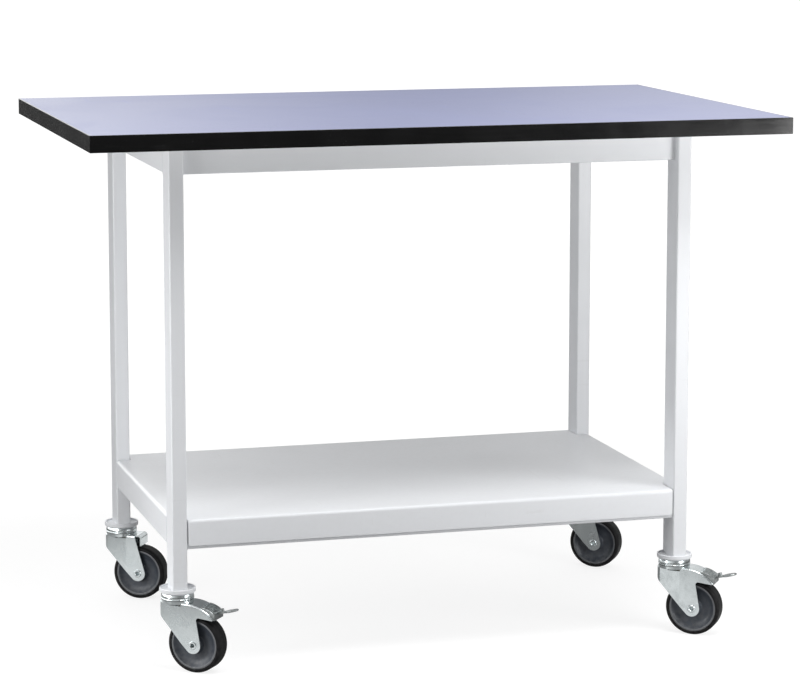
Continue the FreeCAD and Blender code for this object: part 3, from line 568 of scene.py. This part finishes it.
def powder_finish():
    tint = colours()
    mix = Finish("powder_coat", tint.powder, 0.3)
    peel = mix.effect("fine_grain", Pitch=900)
    mix.lay(peel["Tone"], shade(tint.powder, 0.985), 0.05)
    mix.lay(mix.effect("soft_clouds", Pitch=7)["Mask"], shade(tint.powder, 0.985), 0.05)
    mix.lay(mix.effect("fine_scuffs", Pitch=14, Cover=0.16)["Mask"], tint.powder_scuff, 0.1)
    # Dust and painted shade: the coat is darkened towards the floor.
    mix.lay(mix.effect("dust_and_low_shade", Top=0.4, Cover=0.16)["Mask"], tint.dust, 0.2)
    mix.emboss(peel["Height"], 0.05 * MM)
    return mix.done()


def fastener_finish():
    tint = colours()
    mix = Finish("fasteners", tint.fastener, 0.3, 1.0)
    grain = mix.effect("fine_grain", Pitch=2200)
    mix.lay(grain["Tone"], shade(tint.fastener, 0.85), 0.1)
    mix.lay(mix.effect("soft_clouds", Pitch=90)["Mask"], tint.tarnish, 0.08)
    mix.emboss(grain["Height"], 0.015 * MM)
    return mix.done()


def zinc_finish():
    tint = colours()
    mix = Finish("zinc", tint.zinc, 0.16, 1.0)
    clouds = mix.effect("soft_clouds", Pitch=48, Low=0.35, High=0.7)["Mask"]
    mix.lay(clouds, tint.zinc_cloud, 0.08)
    grain = mix.effect("fine_grain", Pitch=1900)
    mix.lay(grain["Tone"], shade(tint.zinc_cloud, 1.05), 0.05)
    specks = ranged(mix.tree, noise(mix.tree, mix.place, 520, 1.0), 0.74, 0.8)
    mix.lay(specks, shade(tint.zinc_cloud, 0.85), 0.1)
    mix.lay(mix.effect("fine_scuffs", Pitch=70, Cover=0.3)["Mask"], shade(tint.zinc, 1.08), 0.08)
    # Dust and painted shade: the plating is darkened towards the floor.
    mix.lay(mix.effect("dust_and_low_shade", Top=0.12, Cover=0.25)["Mask"], tint.dust, 0.25)
    mix.emboss(grain["Height"], 0.02 * MM)
    return mix.done()


def pedal_finish():
    tint = colours()
    mix = Finish("pedal", tint.pedal, 0.24, 1.0)
    mix.lay(mix.effect("soft_clouds", Pitch=110, Low=0.4, High=0.6)["Mask"], tint.pedal_worn, 0.12)
    grain = mix.effect("fine_grain", Pitch=1500)
    mix.lay(grain["Tone"], shade(tint.pedal, 0.8), 0.1)
    mix.lay(mix.effect("fine_scuffs", Pitch=110, Cover=0.8)["Mask"], shade(tint.pedal, 1.5), 0.1)
    mix.emboss(grain["Height"], 0.04 * MM)
    return mix.done()


def hub_finish():
    tint = colours()
    mix = Finish("hub", tint.hub, 0.36)
    grain = mix.effect("fine_grain", Pitch=1400)
    mix.lay(grain["Tone"], shade(tint.hub, 1.2), 0.06)
    mix.lay(mix.effect("soft_clouds", Pitch=45)["Mask"], shade(tint.hub, 1.25), 0.06)
    mix.lay(mix.effect("dust_and_low_shade", Top=0.11, Cover=0.22)["Mask"], tint.dust, 0.2)
    mix.emboss(grain["Height"], 0.03 * MM)
    return mix.done()


# A lighter copy of the hub's finish for its rim: partly wear, partly a painted highlight.
def hub_rim_wear_and_highlight_finish():
    tint = colours()
    mix = Finish("hub_rim", tint.hub_rim, 0.4)
    grain = mix.effect("fine_grain", Pitch=1600)
    mix.lay(grain["Tone"], shade(tint.hub_rim, 0.8), 0.08)
    mix.lay(mix.effect("fine_scuffs", Pitch=90, Cover=0.8)["Mask"], shade(tint.hub_rim, 1.6), 0.1)
    mix.lay(mix.effect("dust_and_low_shade", Top=0.11, Cover=0.2)["Mask"], tint.dust, 0.2)
    mix.emboss(grain["Height"], 0.03 * MM)
    return mix.done()


def rubber_finish():
    tint = colours()
    mix = Finish("rubber", tint.rubber, 0.5, specular=0.16)
    grain = mix.effect("fine_grain", Pitch=1100)
    mix.lay(grain["Tone"], shade(tint.rubber, 1.5), 0.1)
    mix.lay(mix.effect("soft_clouds", Pitch=38)["Mask"], shade(tint.rubber, 1.7), 0.08)
    mix.lay(mix.effect("dust_and_low_shade", Top=0.1, Cover=0.12)["Mask"], tint.dust, 0.2)
    mix.emboss(grain["Height"], 0.06 * MM)
    return mix.done()


FINISHES = {
    "laminate_top": laminate_finish,
    "board_core": board_finish,
    "laminate_backing": backing_finish,
    "edge_black": edge_finish,
    "powder_white": powder_finish,
    "steel_fastener": fastener_finish,
    "zinc_plate": zinc_finish,
    "zinc_pedal": pedal_finish,
    "hub_grey": hub_finish,
    "hub_rim": hub_rim_wear_and_highlight_finish,
    "tyre_black": rubber_finish,
    "brake_rubber": rubber_finish,
}
MADE = {}
SOFT_BOXES = (    # name, place, where it points, width, height, power
    ("high_left", (-1.4, -2.2, 2.6), (-0.2, 0, 0.5), 1.6, 1.2, 6),
    ("steep_front", (0.4, -1.1, 2.8), (0, 0, 0.6), 1.2, 0.8, 37),
    ("low_right", (1.1, -1.5, 0.4), (0.4, 0, 0.6), 0.6, 0.5, 5.5),
    ("near_right", (1.2, -1.1, 0.75), (0.35, -0.28, 0.78), 0.5, 0.4, 6),
    ("low_left", (-1.1, -0.15, 0.45), (-0.3, 0, 0.4), 0.7, 0.5, 2),
    ("near_left", (-1.2, -0.5, 0.48), (-0.45, -0.28, 0.46), 0.3, 0.8, 3.2),
)


def finish_of(slot):
    return MADE[FINISHES[slot]]


def coat(piece, slot):
    """Gives a modelled piece its one finish."""
    piece.data.materials.clear()
    piece.data.materials.append(finish_of(slot))


# ---------------------------------------------------------------- operators
class BenchFinishNodes(bpy.types.Operator):
    """Mix the finishes and give them to the carried-over parts"""

    bl_idname = "bench.finish_nodes"
    bl_label = "Finish the metal, board and rubber parts"

    def execute(self, context):
        for make in (grain_effect, cloud_effect, scuff_effect, dust_and_low_shade_effect):
            make()
        for make in dict.fromkeys(FINISHES.values()):
            MADE[make] = make()
        for node in frame["nodes"].values():
            for place in node.material_slots:
                place.material = finish_of(place.material.name.split(".")[0])
        return {"FINISHED"}


class BenchTyres(bpy.types.Operator):
    """Turn the tyres with their rounded shoulders and mould lines"""

    bl_idname = "bench.tyres"
    bl_label = "Tyres"

    def execute(self, context):
        size = sizes()
        bore, tread = wheel_radius("wheel_hub_fl"), wheel_radius("wheel_tyre_fl")
        half, line = size.tyre_half, size.mould_place
        side = half - size.tyre_lip
        outline = [(bore, -side, 0), (bore, -half, 0), (tread, -half, 0)]
        dip = ((-0.5, 0), (-0.3, 1), (0.3, 1), (0.5, 0))    # across a mould line, and down into it
        for middle in (-line, line):
            for step, depth in dip:
                outline.append((tread - depth * size.mould_line, middle + step * size.mould_width, 0))
        outline += [(tread, half, 0), (bore, half, 0), (bore, side, 0)]
        tyre = draw_outline("tyre", outline)
        round_corners([(tread, -half, 0), (tread, half, 0)], size.shoulder, 8)
        round_corners([(bore, -half, 0), (bore, half, 0)], size.lip_round, 3)
        turn_outline(size.steps)
        smooth(tyre, 32)
        coat(tyre, "tyre_black")
        for corner in CORNERS:
            made = duplicate(tyre, f"tyre_{corner}", wheel_place(corner))
            hand_over(made, f"wheel_{corner}", "tyre_black", f"wheel_tyre_{corner}")
        discard(tyre)
        return {"FINISHED"}


class BenchHubs(bpy.types.Operator):
    """Turn the dished hubs with their raised bosses and ringed rims"""

    bl_idname = "bench.hubs"
    bl_label = "Hubs"

    def execute(self, context):
        size = sizes()
        rim = wheel_radius("wheel_hub_fl")
        dish = rim - size.rim_face
        half = [
            (size.hub_bore, size.boss_half), (size.boss, size.boss_half),
            (size.boss + size.boss_slope, size.web_half),
            (dish - size.dish_slope, size.web_half + size.web_rise),
            (dish, size.rim_half), (rim, size.rim_half),
        ]
        outline = [(r, -w, 0) for r, w in half] + [(r, w, 0) for r, w in half[::-1]]
        hub = draw_outline("hub", outline)
        rounds = (
            (size.boss_round, 4), (size.boss_foot, 6), (size.dish_round, 8), (size.rim_round, 5),
            (size.rim_edge, 3),
        )
        for (r, w), (radius, segments) in zip(half[1:], rounds):
            round_corners([(r, -w, 0), (r, w, 0)], radius, segments)
        turn_outline(size.steps)
        coat(hub, "hub_grey")
        # The rim ring gets the lighter finish: partly wear, partly a painted highlight.
        hub.data.materials.append(finish_of("hub_rim"))
        hub.active_material_index = 1
        pick("FACE", lambda middle, _: (
            math.hypot(middle.x, middle.z) > dish - 0.2 * MM and abs(middle.y) > size.rim_half - MM
        ))
        bpy.ops.object.material_slot_assign()
        smooth(hub, 35)
        for corner in CORNERS:
            made = duplicate(hub, f"hub_{corner}", wheel_place(corner))
            hand_over(made, f"wheel_{corner}", "hub_grey", f"wheel_hub_{corner}")
        discard(hub)
        return {"FINISHED"}


class BenchHeads(bpy.types.Operator):
    """Turn the castor heads with their bulged walls and rolled lips"""

    bl_idname = "bench.heads"
    bl_label = "Castor heads"

    def execute(self, context):
        size = sizes()
        low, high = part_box("castor_head_fl")
        wide, top = (high.x - low.x) / 2, high.z
        bottom, groove = top - size.cup, size.neck / 3
        inside, roof, flare_top = wide - size.cup_wall, top - size.cup_wall, low.z + size.flare_tall
        outline = [
            (size.head_bore, top), (wide - size.cup_taper, top), (wide, bottom + size.bulge),
            (wide - groove, bottom + size.neck_top), (wide - size.neck, bottom + size.neck_top - groove),
            (wide, bottom + size.lip), (wide, bottom), (inside, bottom), (inside, roof), (size.king, roof),
            (size.king, flare_top), (size.flare, flare_top), (size.flare, low.z), (size.head_bore, low.z),
        ]
        head = draw_outline("head", [(r, z, 0) for r, z in outline])
        _, shoulder, belly, _, groove_foot, lip_top, lip_edge, *_ = outline
        for (r, z), radius, segments in (
            (shoulder, 1.1, 5), (belly, 2.4, 8), (groove_foot, 0.3, 3), (lip_top, 0.5, 3), (lip_edge, 0.8, 5),
        ):
            round_corners([(r, z, 0)], radius * MM, segments)
        turn_outline(size.steps)
        smooth(head, 40)
        coat(head, "zinc_plate")
        settle(head, Matrix.Rotation(math.pi / 2, 4, "X"))
        for corner in CORNERS:
            made = duplicate(head, f"head_{corner}", castor_place(corner))
            hand_over(made, "bench", "zinc_plate", f"castor_head_{corner}")
        discard(head)
        return {"FINISHED"}


class BenchTray(bpy.types.Operator):
    """Fold the shelf tray with soft bends from one notched sheet"""

    bl_idname = "bench.tray"
    bl_label = "Shelf tray"

    def execute(self, context):
        size = sizes()
        low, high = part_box("shelf_tray")
        leg_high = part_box("leg_fl")[1]
        inner_x, inner_y = -leg_high.x - size.leg_gap, -leg_high.y - size.leg_gap
        outline = []
        for x, y in ((1, 1), (-1, 1), (-1, -1), (1, -1)):
            notch = ((high.x, inner_y), (inner_x, inner_y), (inner_x, high.y))
            corner = [(x * across, y * along, high.z) for across, along in notch]
            outline += corner if x * y > 0 else corner[::-1]
        tray = draw_outline("shelf_sheet", outline)

        def outermost(middle):
            return abs(middle.x) > high.x - MM or abs(middle.y) > high.y - MM

        pick("EDGE", lambda middle, _: outermost(middle))
        bpy.ops.mesh.extrude_region_move(TRANSFORM_OT_translate={"value": (0, 0, low.z - high.z)})
        pick("EDGE", lambda middle, _: middle.z > high.z - MM and outermost(middle))
        bpy.ops.mesh.bevel(offset=size.fold, segments=8)
        ends = [(x * inner_x, y * high.y, low.z) for x in (-1, 1) for y in (-1, 1)]
        ends += [(x * high.x, y * inner_y, low.z) for x in (-1, 1) for y in (-1, 1)]
        round_corners(ends, size.flange_round, 4)
        bpy.ops.mesh.select_all(action="SELECT")
        bpy.ops.mesh.normals_make_consistent(inside=False)
        clear()
        bpy.context.view_layer.objects.active = tray
        tray.select_set(True)
        sheet = tray.modifiers.new("sheet", "SOLIDIFY")
        sheet.thickness = size.sheet
        sheet.offset = -1
        bpy.ops.object.modifier_apply(modifier=sheet.name)
        smooth(tray, 30)
        coat(tray, "powder_white")
        hand_over(tray, "bench", "powder_white", "shelf_tray")
        return {"FINISHED"}


class BenchWelds(bpy.types.Operator):
    """Lay rippled weld beads where the rails meet the legs"""

    bl_idname = "bench.welds"
    bl_label = "Weld beads"

    def execute(self, context):
        size = sizes()
        inset, radius = 0.45 * size.weld, 0.7 * size.weld
        bead = start(
            "bead", bpy.ops.mesh.primitive_circle_add,
            vertices=12, radius=radius, fill_type="NGON", location=(inset, inset, 0),
        )
        pitch = size.weld_length / (2 * size.ripples)
        ripple, swell, taper = 0.9, 1.22, 0.75
        grows = [(ripple, 1 / ripple)[step % 2] for step in range(2 * size.ripples)]
        grows[0], grows[-1] = swell, taper
        for grow in grows:
            bpy.ops.mesh.extrude_region_move(TRANSFORM_OT_translate={"value": (0, 0, pitch)})
            bpy.ops.transform.resize(value=(grow, grow, 1))
        bpy.ops.mesh.select_all(action="SELECT")
        bpy.ops.mesh.normals_make_consistent(inside=False)
        smooth(bead, 70)
        coat(bead, "powder_white")
        for corner in CORNERS:
            self.weld_leg(bead, corner)
        discard(bead)
        return {"FINISHED"}

    def weld_leg(self, bead, corner):
        """Lays one leg's beads. Each run has its start and the two directions that face out of its corner."""
        long_way = 1 if corner[1] == "l" else -1
        deep_way = 1 if corner[0] == "f" else -1
        side = {"f": "front", "b": "back"}[corner[0]]
        flank = {"l": "left", "r": "right"}[corner[1]]
        leg_low, leg_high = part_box(f"leg_{corner}")
        leg_x = leg_high.x if long_way > 0 else leg_low.x
        leg_y = leg_high.y if deep_way > 0 else leg_low.y
        out_x, out_y, down = Vector((long_way, 0, 0)), Vector((0, deep_way, 0)), Vector((0, 0, -1))
        rail_low, rail_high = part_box(f"top_rail_{side}")
        step = sizes().weld_length
        runs = []
        for y, out in ((rail_low.y, Vector((0, -1, 0))), (rail_high.y, Vector((0, 1, 0)))):
            for z in (rail_low.z, rail_low.z + step):
                runs.append((Vector((leg_x, y, z)), out_x, out, Vector((0, 0, 1))))
        for rail in (f"top_rail_{side}", f"lower_rail_{side}"):
            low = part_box(rail)[0]
            runs.append((Vector((leg_x, low.y, low.z)), out_x, down, Vector((0, 1, 0))))
        for rail in (f"top_rail_{flank}", f"lower_rail_{flank}"):
            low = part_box(rail)[0]
            runs.append((Vector((low.x, leg_y, low.z)), out_y, down, Vector((1, 0, 0))))
        beads = []
        for place, one, other, along in runs:
            if one.cross(other).dot(along) < 0:
                one, other = other, one
            turned = Matrix((one, other, along)).transposed().to_4x4()
            beads.append(duplicate(bead, "run", Matrix.Translation(place) @ turned))
        hand_over(join(beads, f"welds_{corner}"), "bench", "powder_white")


class BenchPedalStuds(bpy.types.Operator):
    """Stud the treads of the two brake pedals"""

    bl_idname = "bench.pedal_studs"
    bl_label = "Pedal studs"

    def execute(self, context):
        size = sizes()
        foot, flat, brow, crown = 0.5 * size.stud, 0.28 * size.stud, 0.12 * size.stud, 0.15 * size.stud_height
        stud = start(
            "stud", bpy.ops.mesh.primitive_cone_add,
            vertices=4, radius1=foot, radius2=flat, depth=2 * size.stud_height,
        )
        pick("FACE", lambda middle, normal: normal.z > 0.9)
        bpy.ops.mesh.inset(thickness=brow)
        bpy.ops.transform.translate(value=(0, 0, crown))
        smooth(stud, 30)
        coat(stud, "zinc_plate")
        radius, rows, columns = size.tread_radius, size.stud_rows, size.stud_columns
        first, last = math.acos(size.stud_first / radius), math.acos(size.stud_last / radius)
        for corner in BRAKED:
            studs = []
            for row in range(rows):
                angle = first + (last - first) * row / (rows - 1)
                back = size.tread_middle + radius * math.cos(angle)
                height = size.tread_crest - radius + radius * math.sin(angle)
                tip = Matrix.Rotation(math.pi / 2 - angle, 4, "Y")
                for column in range(columns - row % 2):
                    aside = (column - (columns - 1 - row % 2) / 2) * size.stud_pitch
                    spot = Matrix.Translation((back, aside, height))
                    studs.append(duplicate(stud, "stud_copy", castor_place(corner) @ spot @ tip))
            hand_over(join(studs, f"pedal_studs_{corner}"), f"pedal_{corner}", "zinc_plate")
        discard(stud)
        return {"FINISHED"}


class BenchScrews(bpy.types.Operator):
    """Model the worktop's pan head screws with their recesses"""

    bl_idname = "bench.screws"
    bl_label = "Worktop screws"

    def execute(self, context):
        size = sizes()
        low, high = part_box("worktop_screws")
        tall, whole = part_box("worktop_brackets")[1].z - size.bracket_plate - low.z, high.z - low.z
        dome, recess, narrowing, proud = 0.45 * tall, 0.5 * tall, 0.6, 0.001 * MM
        screw = start(
            "screw", bpy.ops.mesh.primitive_cylinder_add,
            vertices=40, radius=size.screw_head, depth=tall, location=(0, 0, tall / 2),
        )
        pick("EDGE", lambda middle, _: middle.z < 0.01 * MM)
        bpy.ops.mesh.bevel(offset=dome, segments=5)
        pick("FACE", lambda middle, normal: normal.z < -0.99)
        bpy.ops.mesh.inset(thickness=size.screw_rim)
        bpy.ops.mesh.extrude_region_move(TRANSFORM_OT_translate={"value": (0, 0, recess)})
        bpy.ops.transform.resize(value=(narrowing, narrowing, 1))
        smooth(screw, 35)
        shank = start(
            "shank", bpy.ops.mesh.primitive_cylinder_add,
            vertices=24, radius=size.screw_shank, depth=whole - tall, location=(0, 0, (whole + tall) / 2),
        )
        pick("FACE", lambda middle, normal: normal.z > 0.99)
        bpy.ops.mesh.inset(thickness=size.shank_rim)
        bpy.ops.transform.translate(value=(0, 0, proud))
        smooth(shank, 35)
        screw = join([screw, shank], "screw")
        coat(screw, "steel_fastener")
        reach_x, reach_y = high.x - size.screw_head, high.y - size.screw_head
        copies = [
            duplicate(screw, "screw_copy", Matrix.Translation((x, y, low.z)))
            for x in (-reach_x, 0, reach_x) for y in (-reach_y, reach_y)
        ]
        hand_over(join(copies, "worktop_screw_heads"), "bench", "steel_fastener", "worktop_screws")
        discard(screw)
        return {"FINISHED"}


class BenchStage(bpy.types.Operator):
    """Set up the floor, the lights, the world and the camera"""

    bl_idname = "bench.stage"
    bl_label = "Studio"

    def execute(self, context):
        studio = context.scene.bench_studio
        self.lay_floor(studio)
        self.light_world(context, studio)
        for name, place, aim, wide, tall, power in SOFT_BOXES:
            self.hang_box(name, Vector(place), Vector(aim), wide, tall, power)
        self.place_camera(context, studio)
        view = context.scene.view_settings
        view.view_transform = "Standard"
        return {"FINISHED"}

    def lay_floor(self, studio):
        """A pale floor: plain for the light it throws back, white for the eye, and in reflections a pool of
        light that is darker under the bench and fades away from it."""
        clear()
        bpy.ops.mesh.primitive_plane_add(size=studio.floor, location=(0, 0, -studio.floor_drop))
        floor = bpy.context.object
        floor.name = "floor"
        material = bpy.data.materials.new("floor_pale")
        material.use_nodes = True
        tree = material.node_tree
        tree.nodes.remove(tree.nodes["Principled BSDF"])
        plain = put(tree, "BsdfDiffuse", {"Color": studio.floor_plain}).outputs[0]
        soft = put(tree, "BsdfDiffuse", {"Color": studio.floor_soft}).outputs[0]
        beyond = put(tree, "TexCoord").outputs["Object"]
        for operation, other in (("ABSOLUTE", None), ("SUBTRACT", studio.footprint), ("MAXIMUM", (0, 0, 0))):
            feeds = {0: beyond} if other is None else {0: beyond, 1: other}
            beyond = put(tree, "VectorMath", feeds, operation=operation).outputs["Vector"]
        away = put(tree, "VectorMath", {0: beyond}, operation="LENGTH").outputs["Value"]
        fade = ranged(tree, away, *studio.pool, studio.floor_shine, studio.far_shine, shape="SMOOTHSTEP")
        below = ranged(tree, away, 0.0, studio.pool[0], studio.under_shine, 1.0, shape="SMOOTHSTEP")
        fade = reckoned(tree, "MULTIPLY", fade, below)
        mirrored = put(tree, "Emission", {"Color": (1, 1, 1, 1), "Strength": fade}).outputs[0]
        paling = ranged(tree, away, *studio.pale_run, *studio.pale, shape="SMOOTHSTEP")
        glow = put(tree, "Emission", {"Color": (1, 1, 1, 1), "Strength": paling}).outputs[0]
        shown = put(tree, "AddShader", {0: soft, 1: glow}).outputs[0]
        path = put(tree, "LightPath").outputs
        shiny = reckoned(tree, "MAXIMUM", path["Is Glossy Ray"], path["Is Transmission Ray"])
        unseen = put(tree, "MixShader", {0: shiny, 1: plain, 2: mirrored}).outputs[0]
        total = put(tree, "MixShader", {0: path["Is Camera Ray"], 1: unseen, 2: shown}).outputs[0]
        tree.links.new(total, tree.nodes["Material Output"].inputs["Surface"])
        floor.data.materials.append(material)

    def light_world(self, context, studio):
        """The room: white for the eye, and for light and reflections a sum of soft lobes."""
        world = bpy.data.worlds.new("studio_world")
        context.scene.world = world
        world.use_nodes = True
        tree = world.node_tree
        axes = put(tree, "SeparateXYZ", {0: put(tree, "TexCoord").outputs["Generated"]}).outputs
        fill, shine = 0.0, 0.0
        for number, (axis, way) in enumerate((("X", -1.0), ("X", 1.0), ("Y", -1.0), ("Y", 1.0), ("Z", 1.0))):
            towards = reckoned(tree, "MAXIMUM", reckoned(tree, "MULTIPLY", axes[axis], way), 0.0)
            lobe = reckoned(tree, "MULTIPLY", towards, towards)
            fill = reckoned(tree, "ADD", fill, reckoned(tree, "MULTIPLY", lobe, studio.fill[number]))
            shine = reckoned(tree, "ADD", shine, reckoned(tree, "MULTIPLY", lobe, studio.shine[number]))
        sideways = reckoned(
            tree, "SUBTRACT",
            reckoned(tree, "MULTIPLY", axes["X"], math.cos(studio.gap)),
            reckoned(tree, "MULTIPLY", axes["Y"], math.sin(studio.gap)),
        )
        behind = reckoned(tree, "MAXIMUM", axes["Y"], 0.0)
        left_wing, right_wing = (0.03, -0.22), (-0.01, 0.1)
        for (near, far), strength in zip((left_wing, right_wing), studio.wings):
            wing = ranged(tree, sideways, near, far, 0.0, strength, "SMOOTHSTEP")
            shine = reckoned(tree, "ADD", shine, reckoned(tree, "MULTIPLY", wing, behind))
        path = put(tree, "LightPath").outputs
        shiny = reckoned(tree, "MAXIMUM", path["Is Glossy Ray"], path["Is Transmission Ray"])
        unseen = mixed(tree, shiny, fill, shine)
        sky = mixed(tree, path["Is Camera Ray"], unseen, (1, 1, 1, 1))
        tree.links.new(sky, tree.nodes["Background"].inputs["Color"])

    def hang_box(self, name, place, aim, wide, tall, power):
        light = bpy.data.lights.new(name, "AREA")
        light.shape = "RECTANGLE"
        light.size = wide
        light.size_y = tall
        light.energy = power
        lamp = bpy.data.objects.new(name, light)
        lamp.visible_camera = False
        bpy.context.scene.collection.objects.link(lamp)
        turned = (place - aim).to_track_quat("Z", "Y").to_matrix().to_4x4()
        lamp.matrix_world = Matrix.Translation(place) @ turned

    def place_camera(self, context, studio):
        camera = bpy.data.cameras.new("camera")
        camera.lens = studio.lens
        camera.sensor_width = 36
        camera.shift_y = studio.shift
        camera.clip_end = 200
        holder = bpy.data.objects.new("camera", camera)
        context.scene.collection.objects.link(holder)
        side = Vector((math.cos(studio.turn), math.sin(studio.turn), 0))
        level = Vector((-side.y, side.x, 0))
        ahead = level * math.cos(studio.tilt) - Vector((0, 0, math.sin(studio.tilt)))
        turned = Matrix((side, side.cross(ahead), -ahead)).transposed().to_4x4()
        holder.matrix_world = Matrix.Translation(studio.place) @ turned
        context.scene.camera = holder


class BenchPanel(bpy.types.Panel):
    """Sizes, colours and steps of the bench"""

    bl_idname = "BENCH_PT_dressing"
    bl_label = "Laboratory bench"
    bl_space_type = "VIEW_3D"
    bl_region_type = "UI"
    bl_category = "Bench"

    def draw(self, context):
        for group in (context.scene.bench_colours, context.scene.bench_sizes, context.scene.bench_studio):
            box = self.layout.box()
            for name in group.__annotations__:
                box.prop(group, name)
        for step in STEPS:
            self.layout.operator(step.bl_idname)


STEPS = (
    BenchFinishNodes, BenchTyres, BenchHubs, BenchHeads, BenchTray, BenchWelds, BenchPedalStuds, BenchScrews,
    BenchStage,
)
CLASSES = (BenchColours, BenchSizes, BenchStudio, *STEPS, BenchPanel)


def register():
    for cls in CLASSES:
        bpy.utils.register_class(cls)
    bpy.types.Scene.bench_colours = PointerProperty(type=BenchColours)
    bpy.types.Scene.bench_sizes = PointerProperty(type=BenchSizes)
    bpy.types.Scene.bench_studio = PointerProperty(type=BenchStudio)


def unregister():
    del bpy.types.Scene.bench_studio
    del bpy.types.Scene.bench_sizes
    del bpy.types.Scene.bench_colours
    for cls in reversed(CLASSES):
        bpy.utils.unregister_class(cls)


def main():
    register()
    for step in STEPS:
        family, name = step.bl_idname.split(".")
        getattr(getattr(bpy.ops, family), name)()


if __name__ == "__main__":
    main()
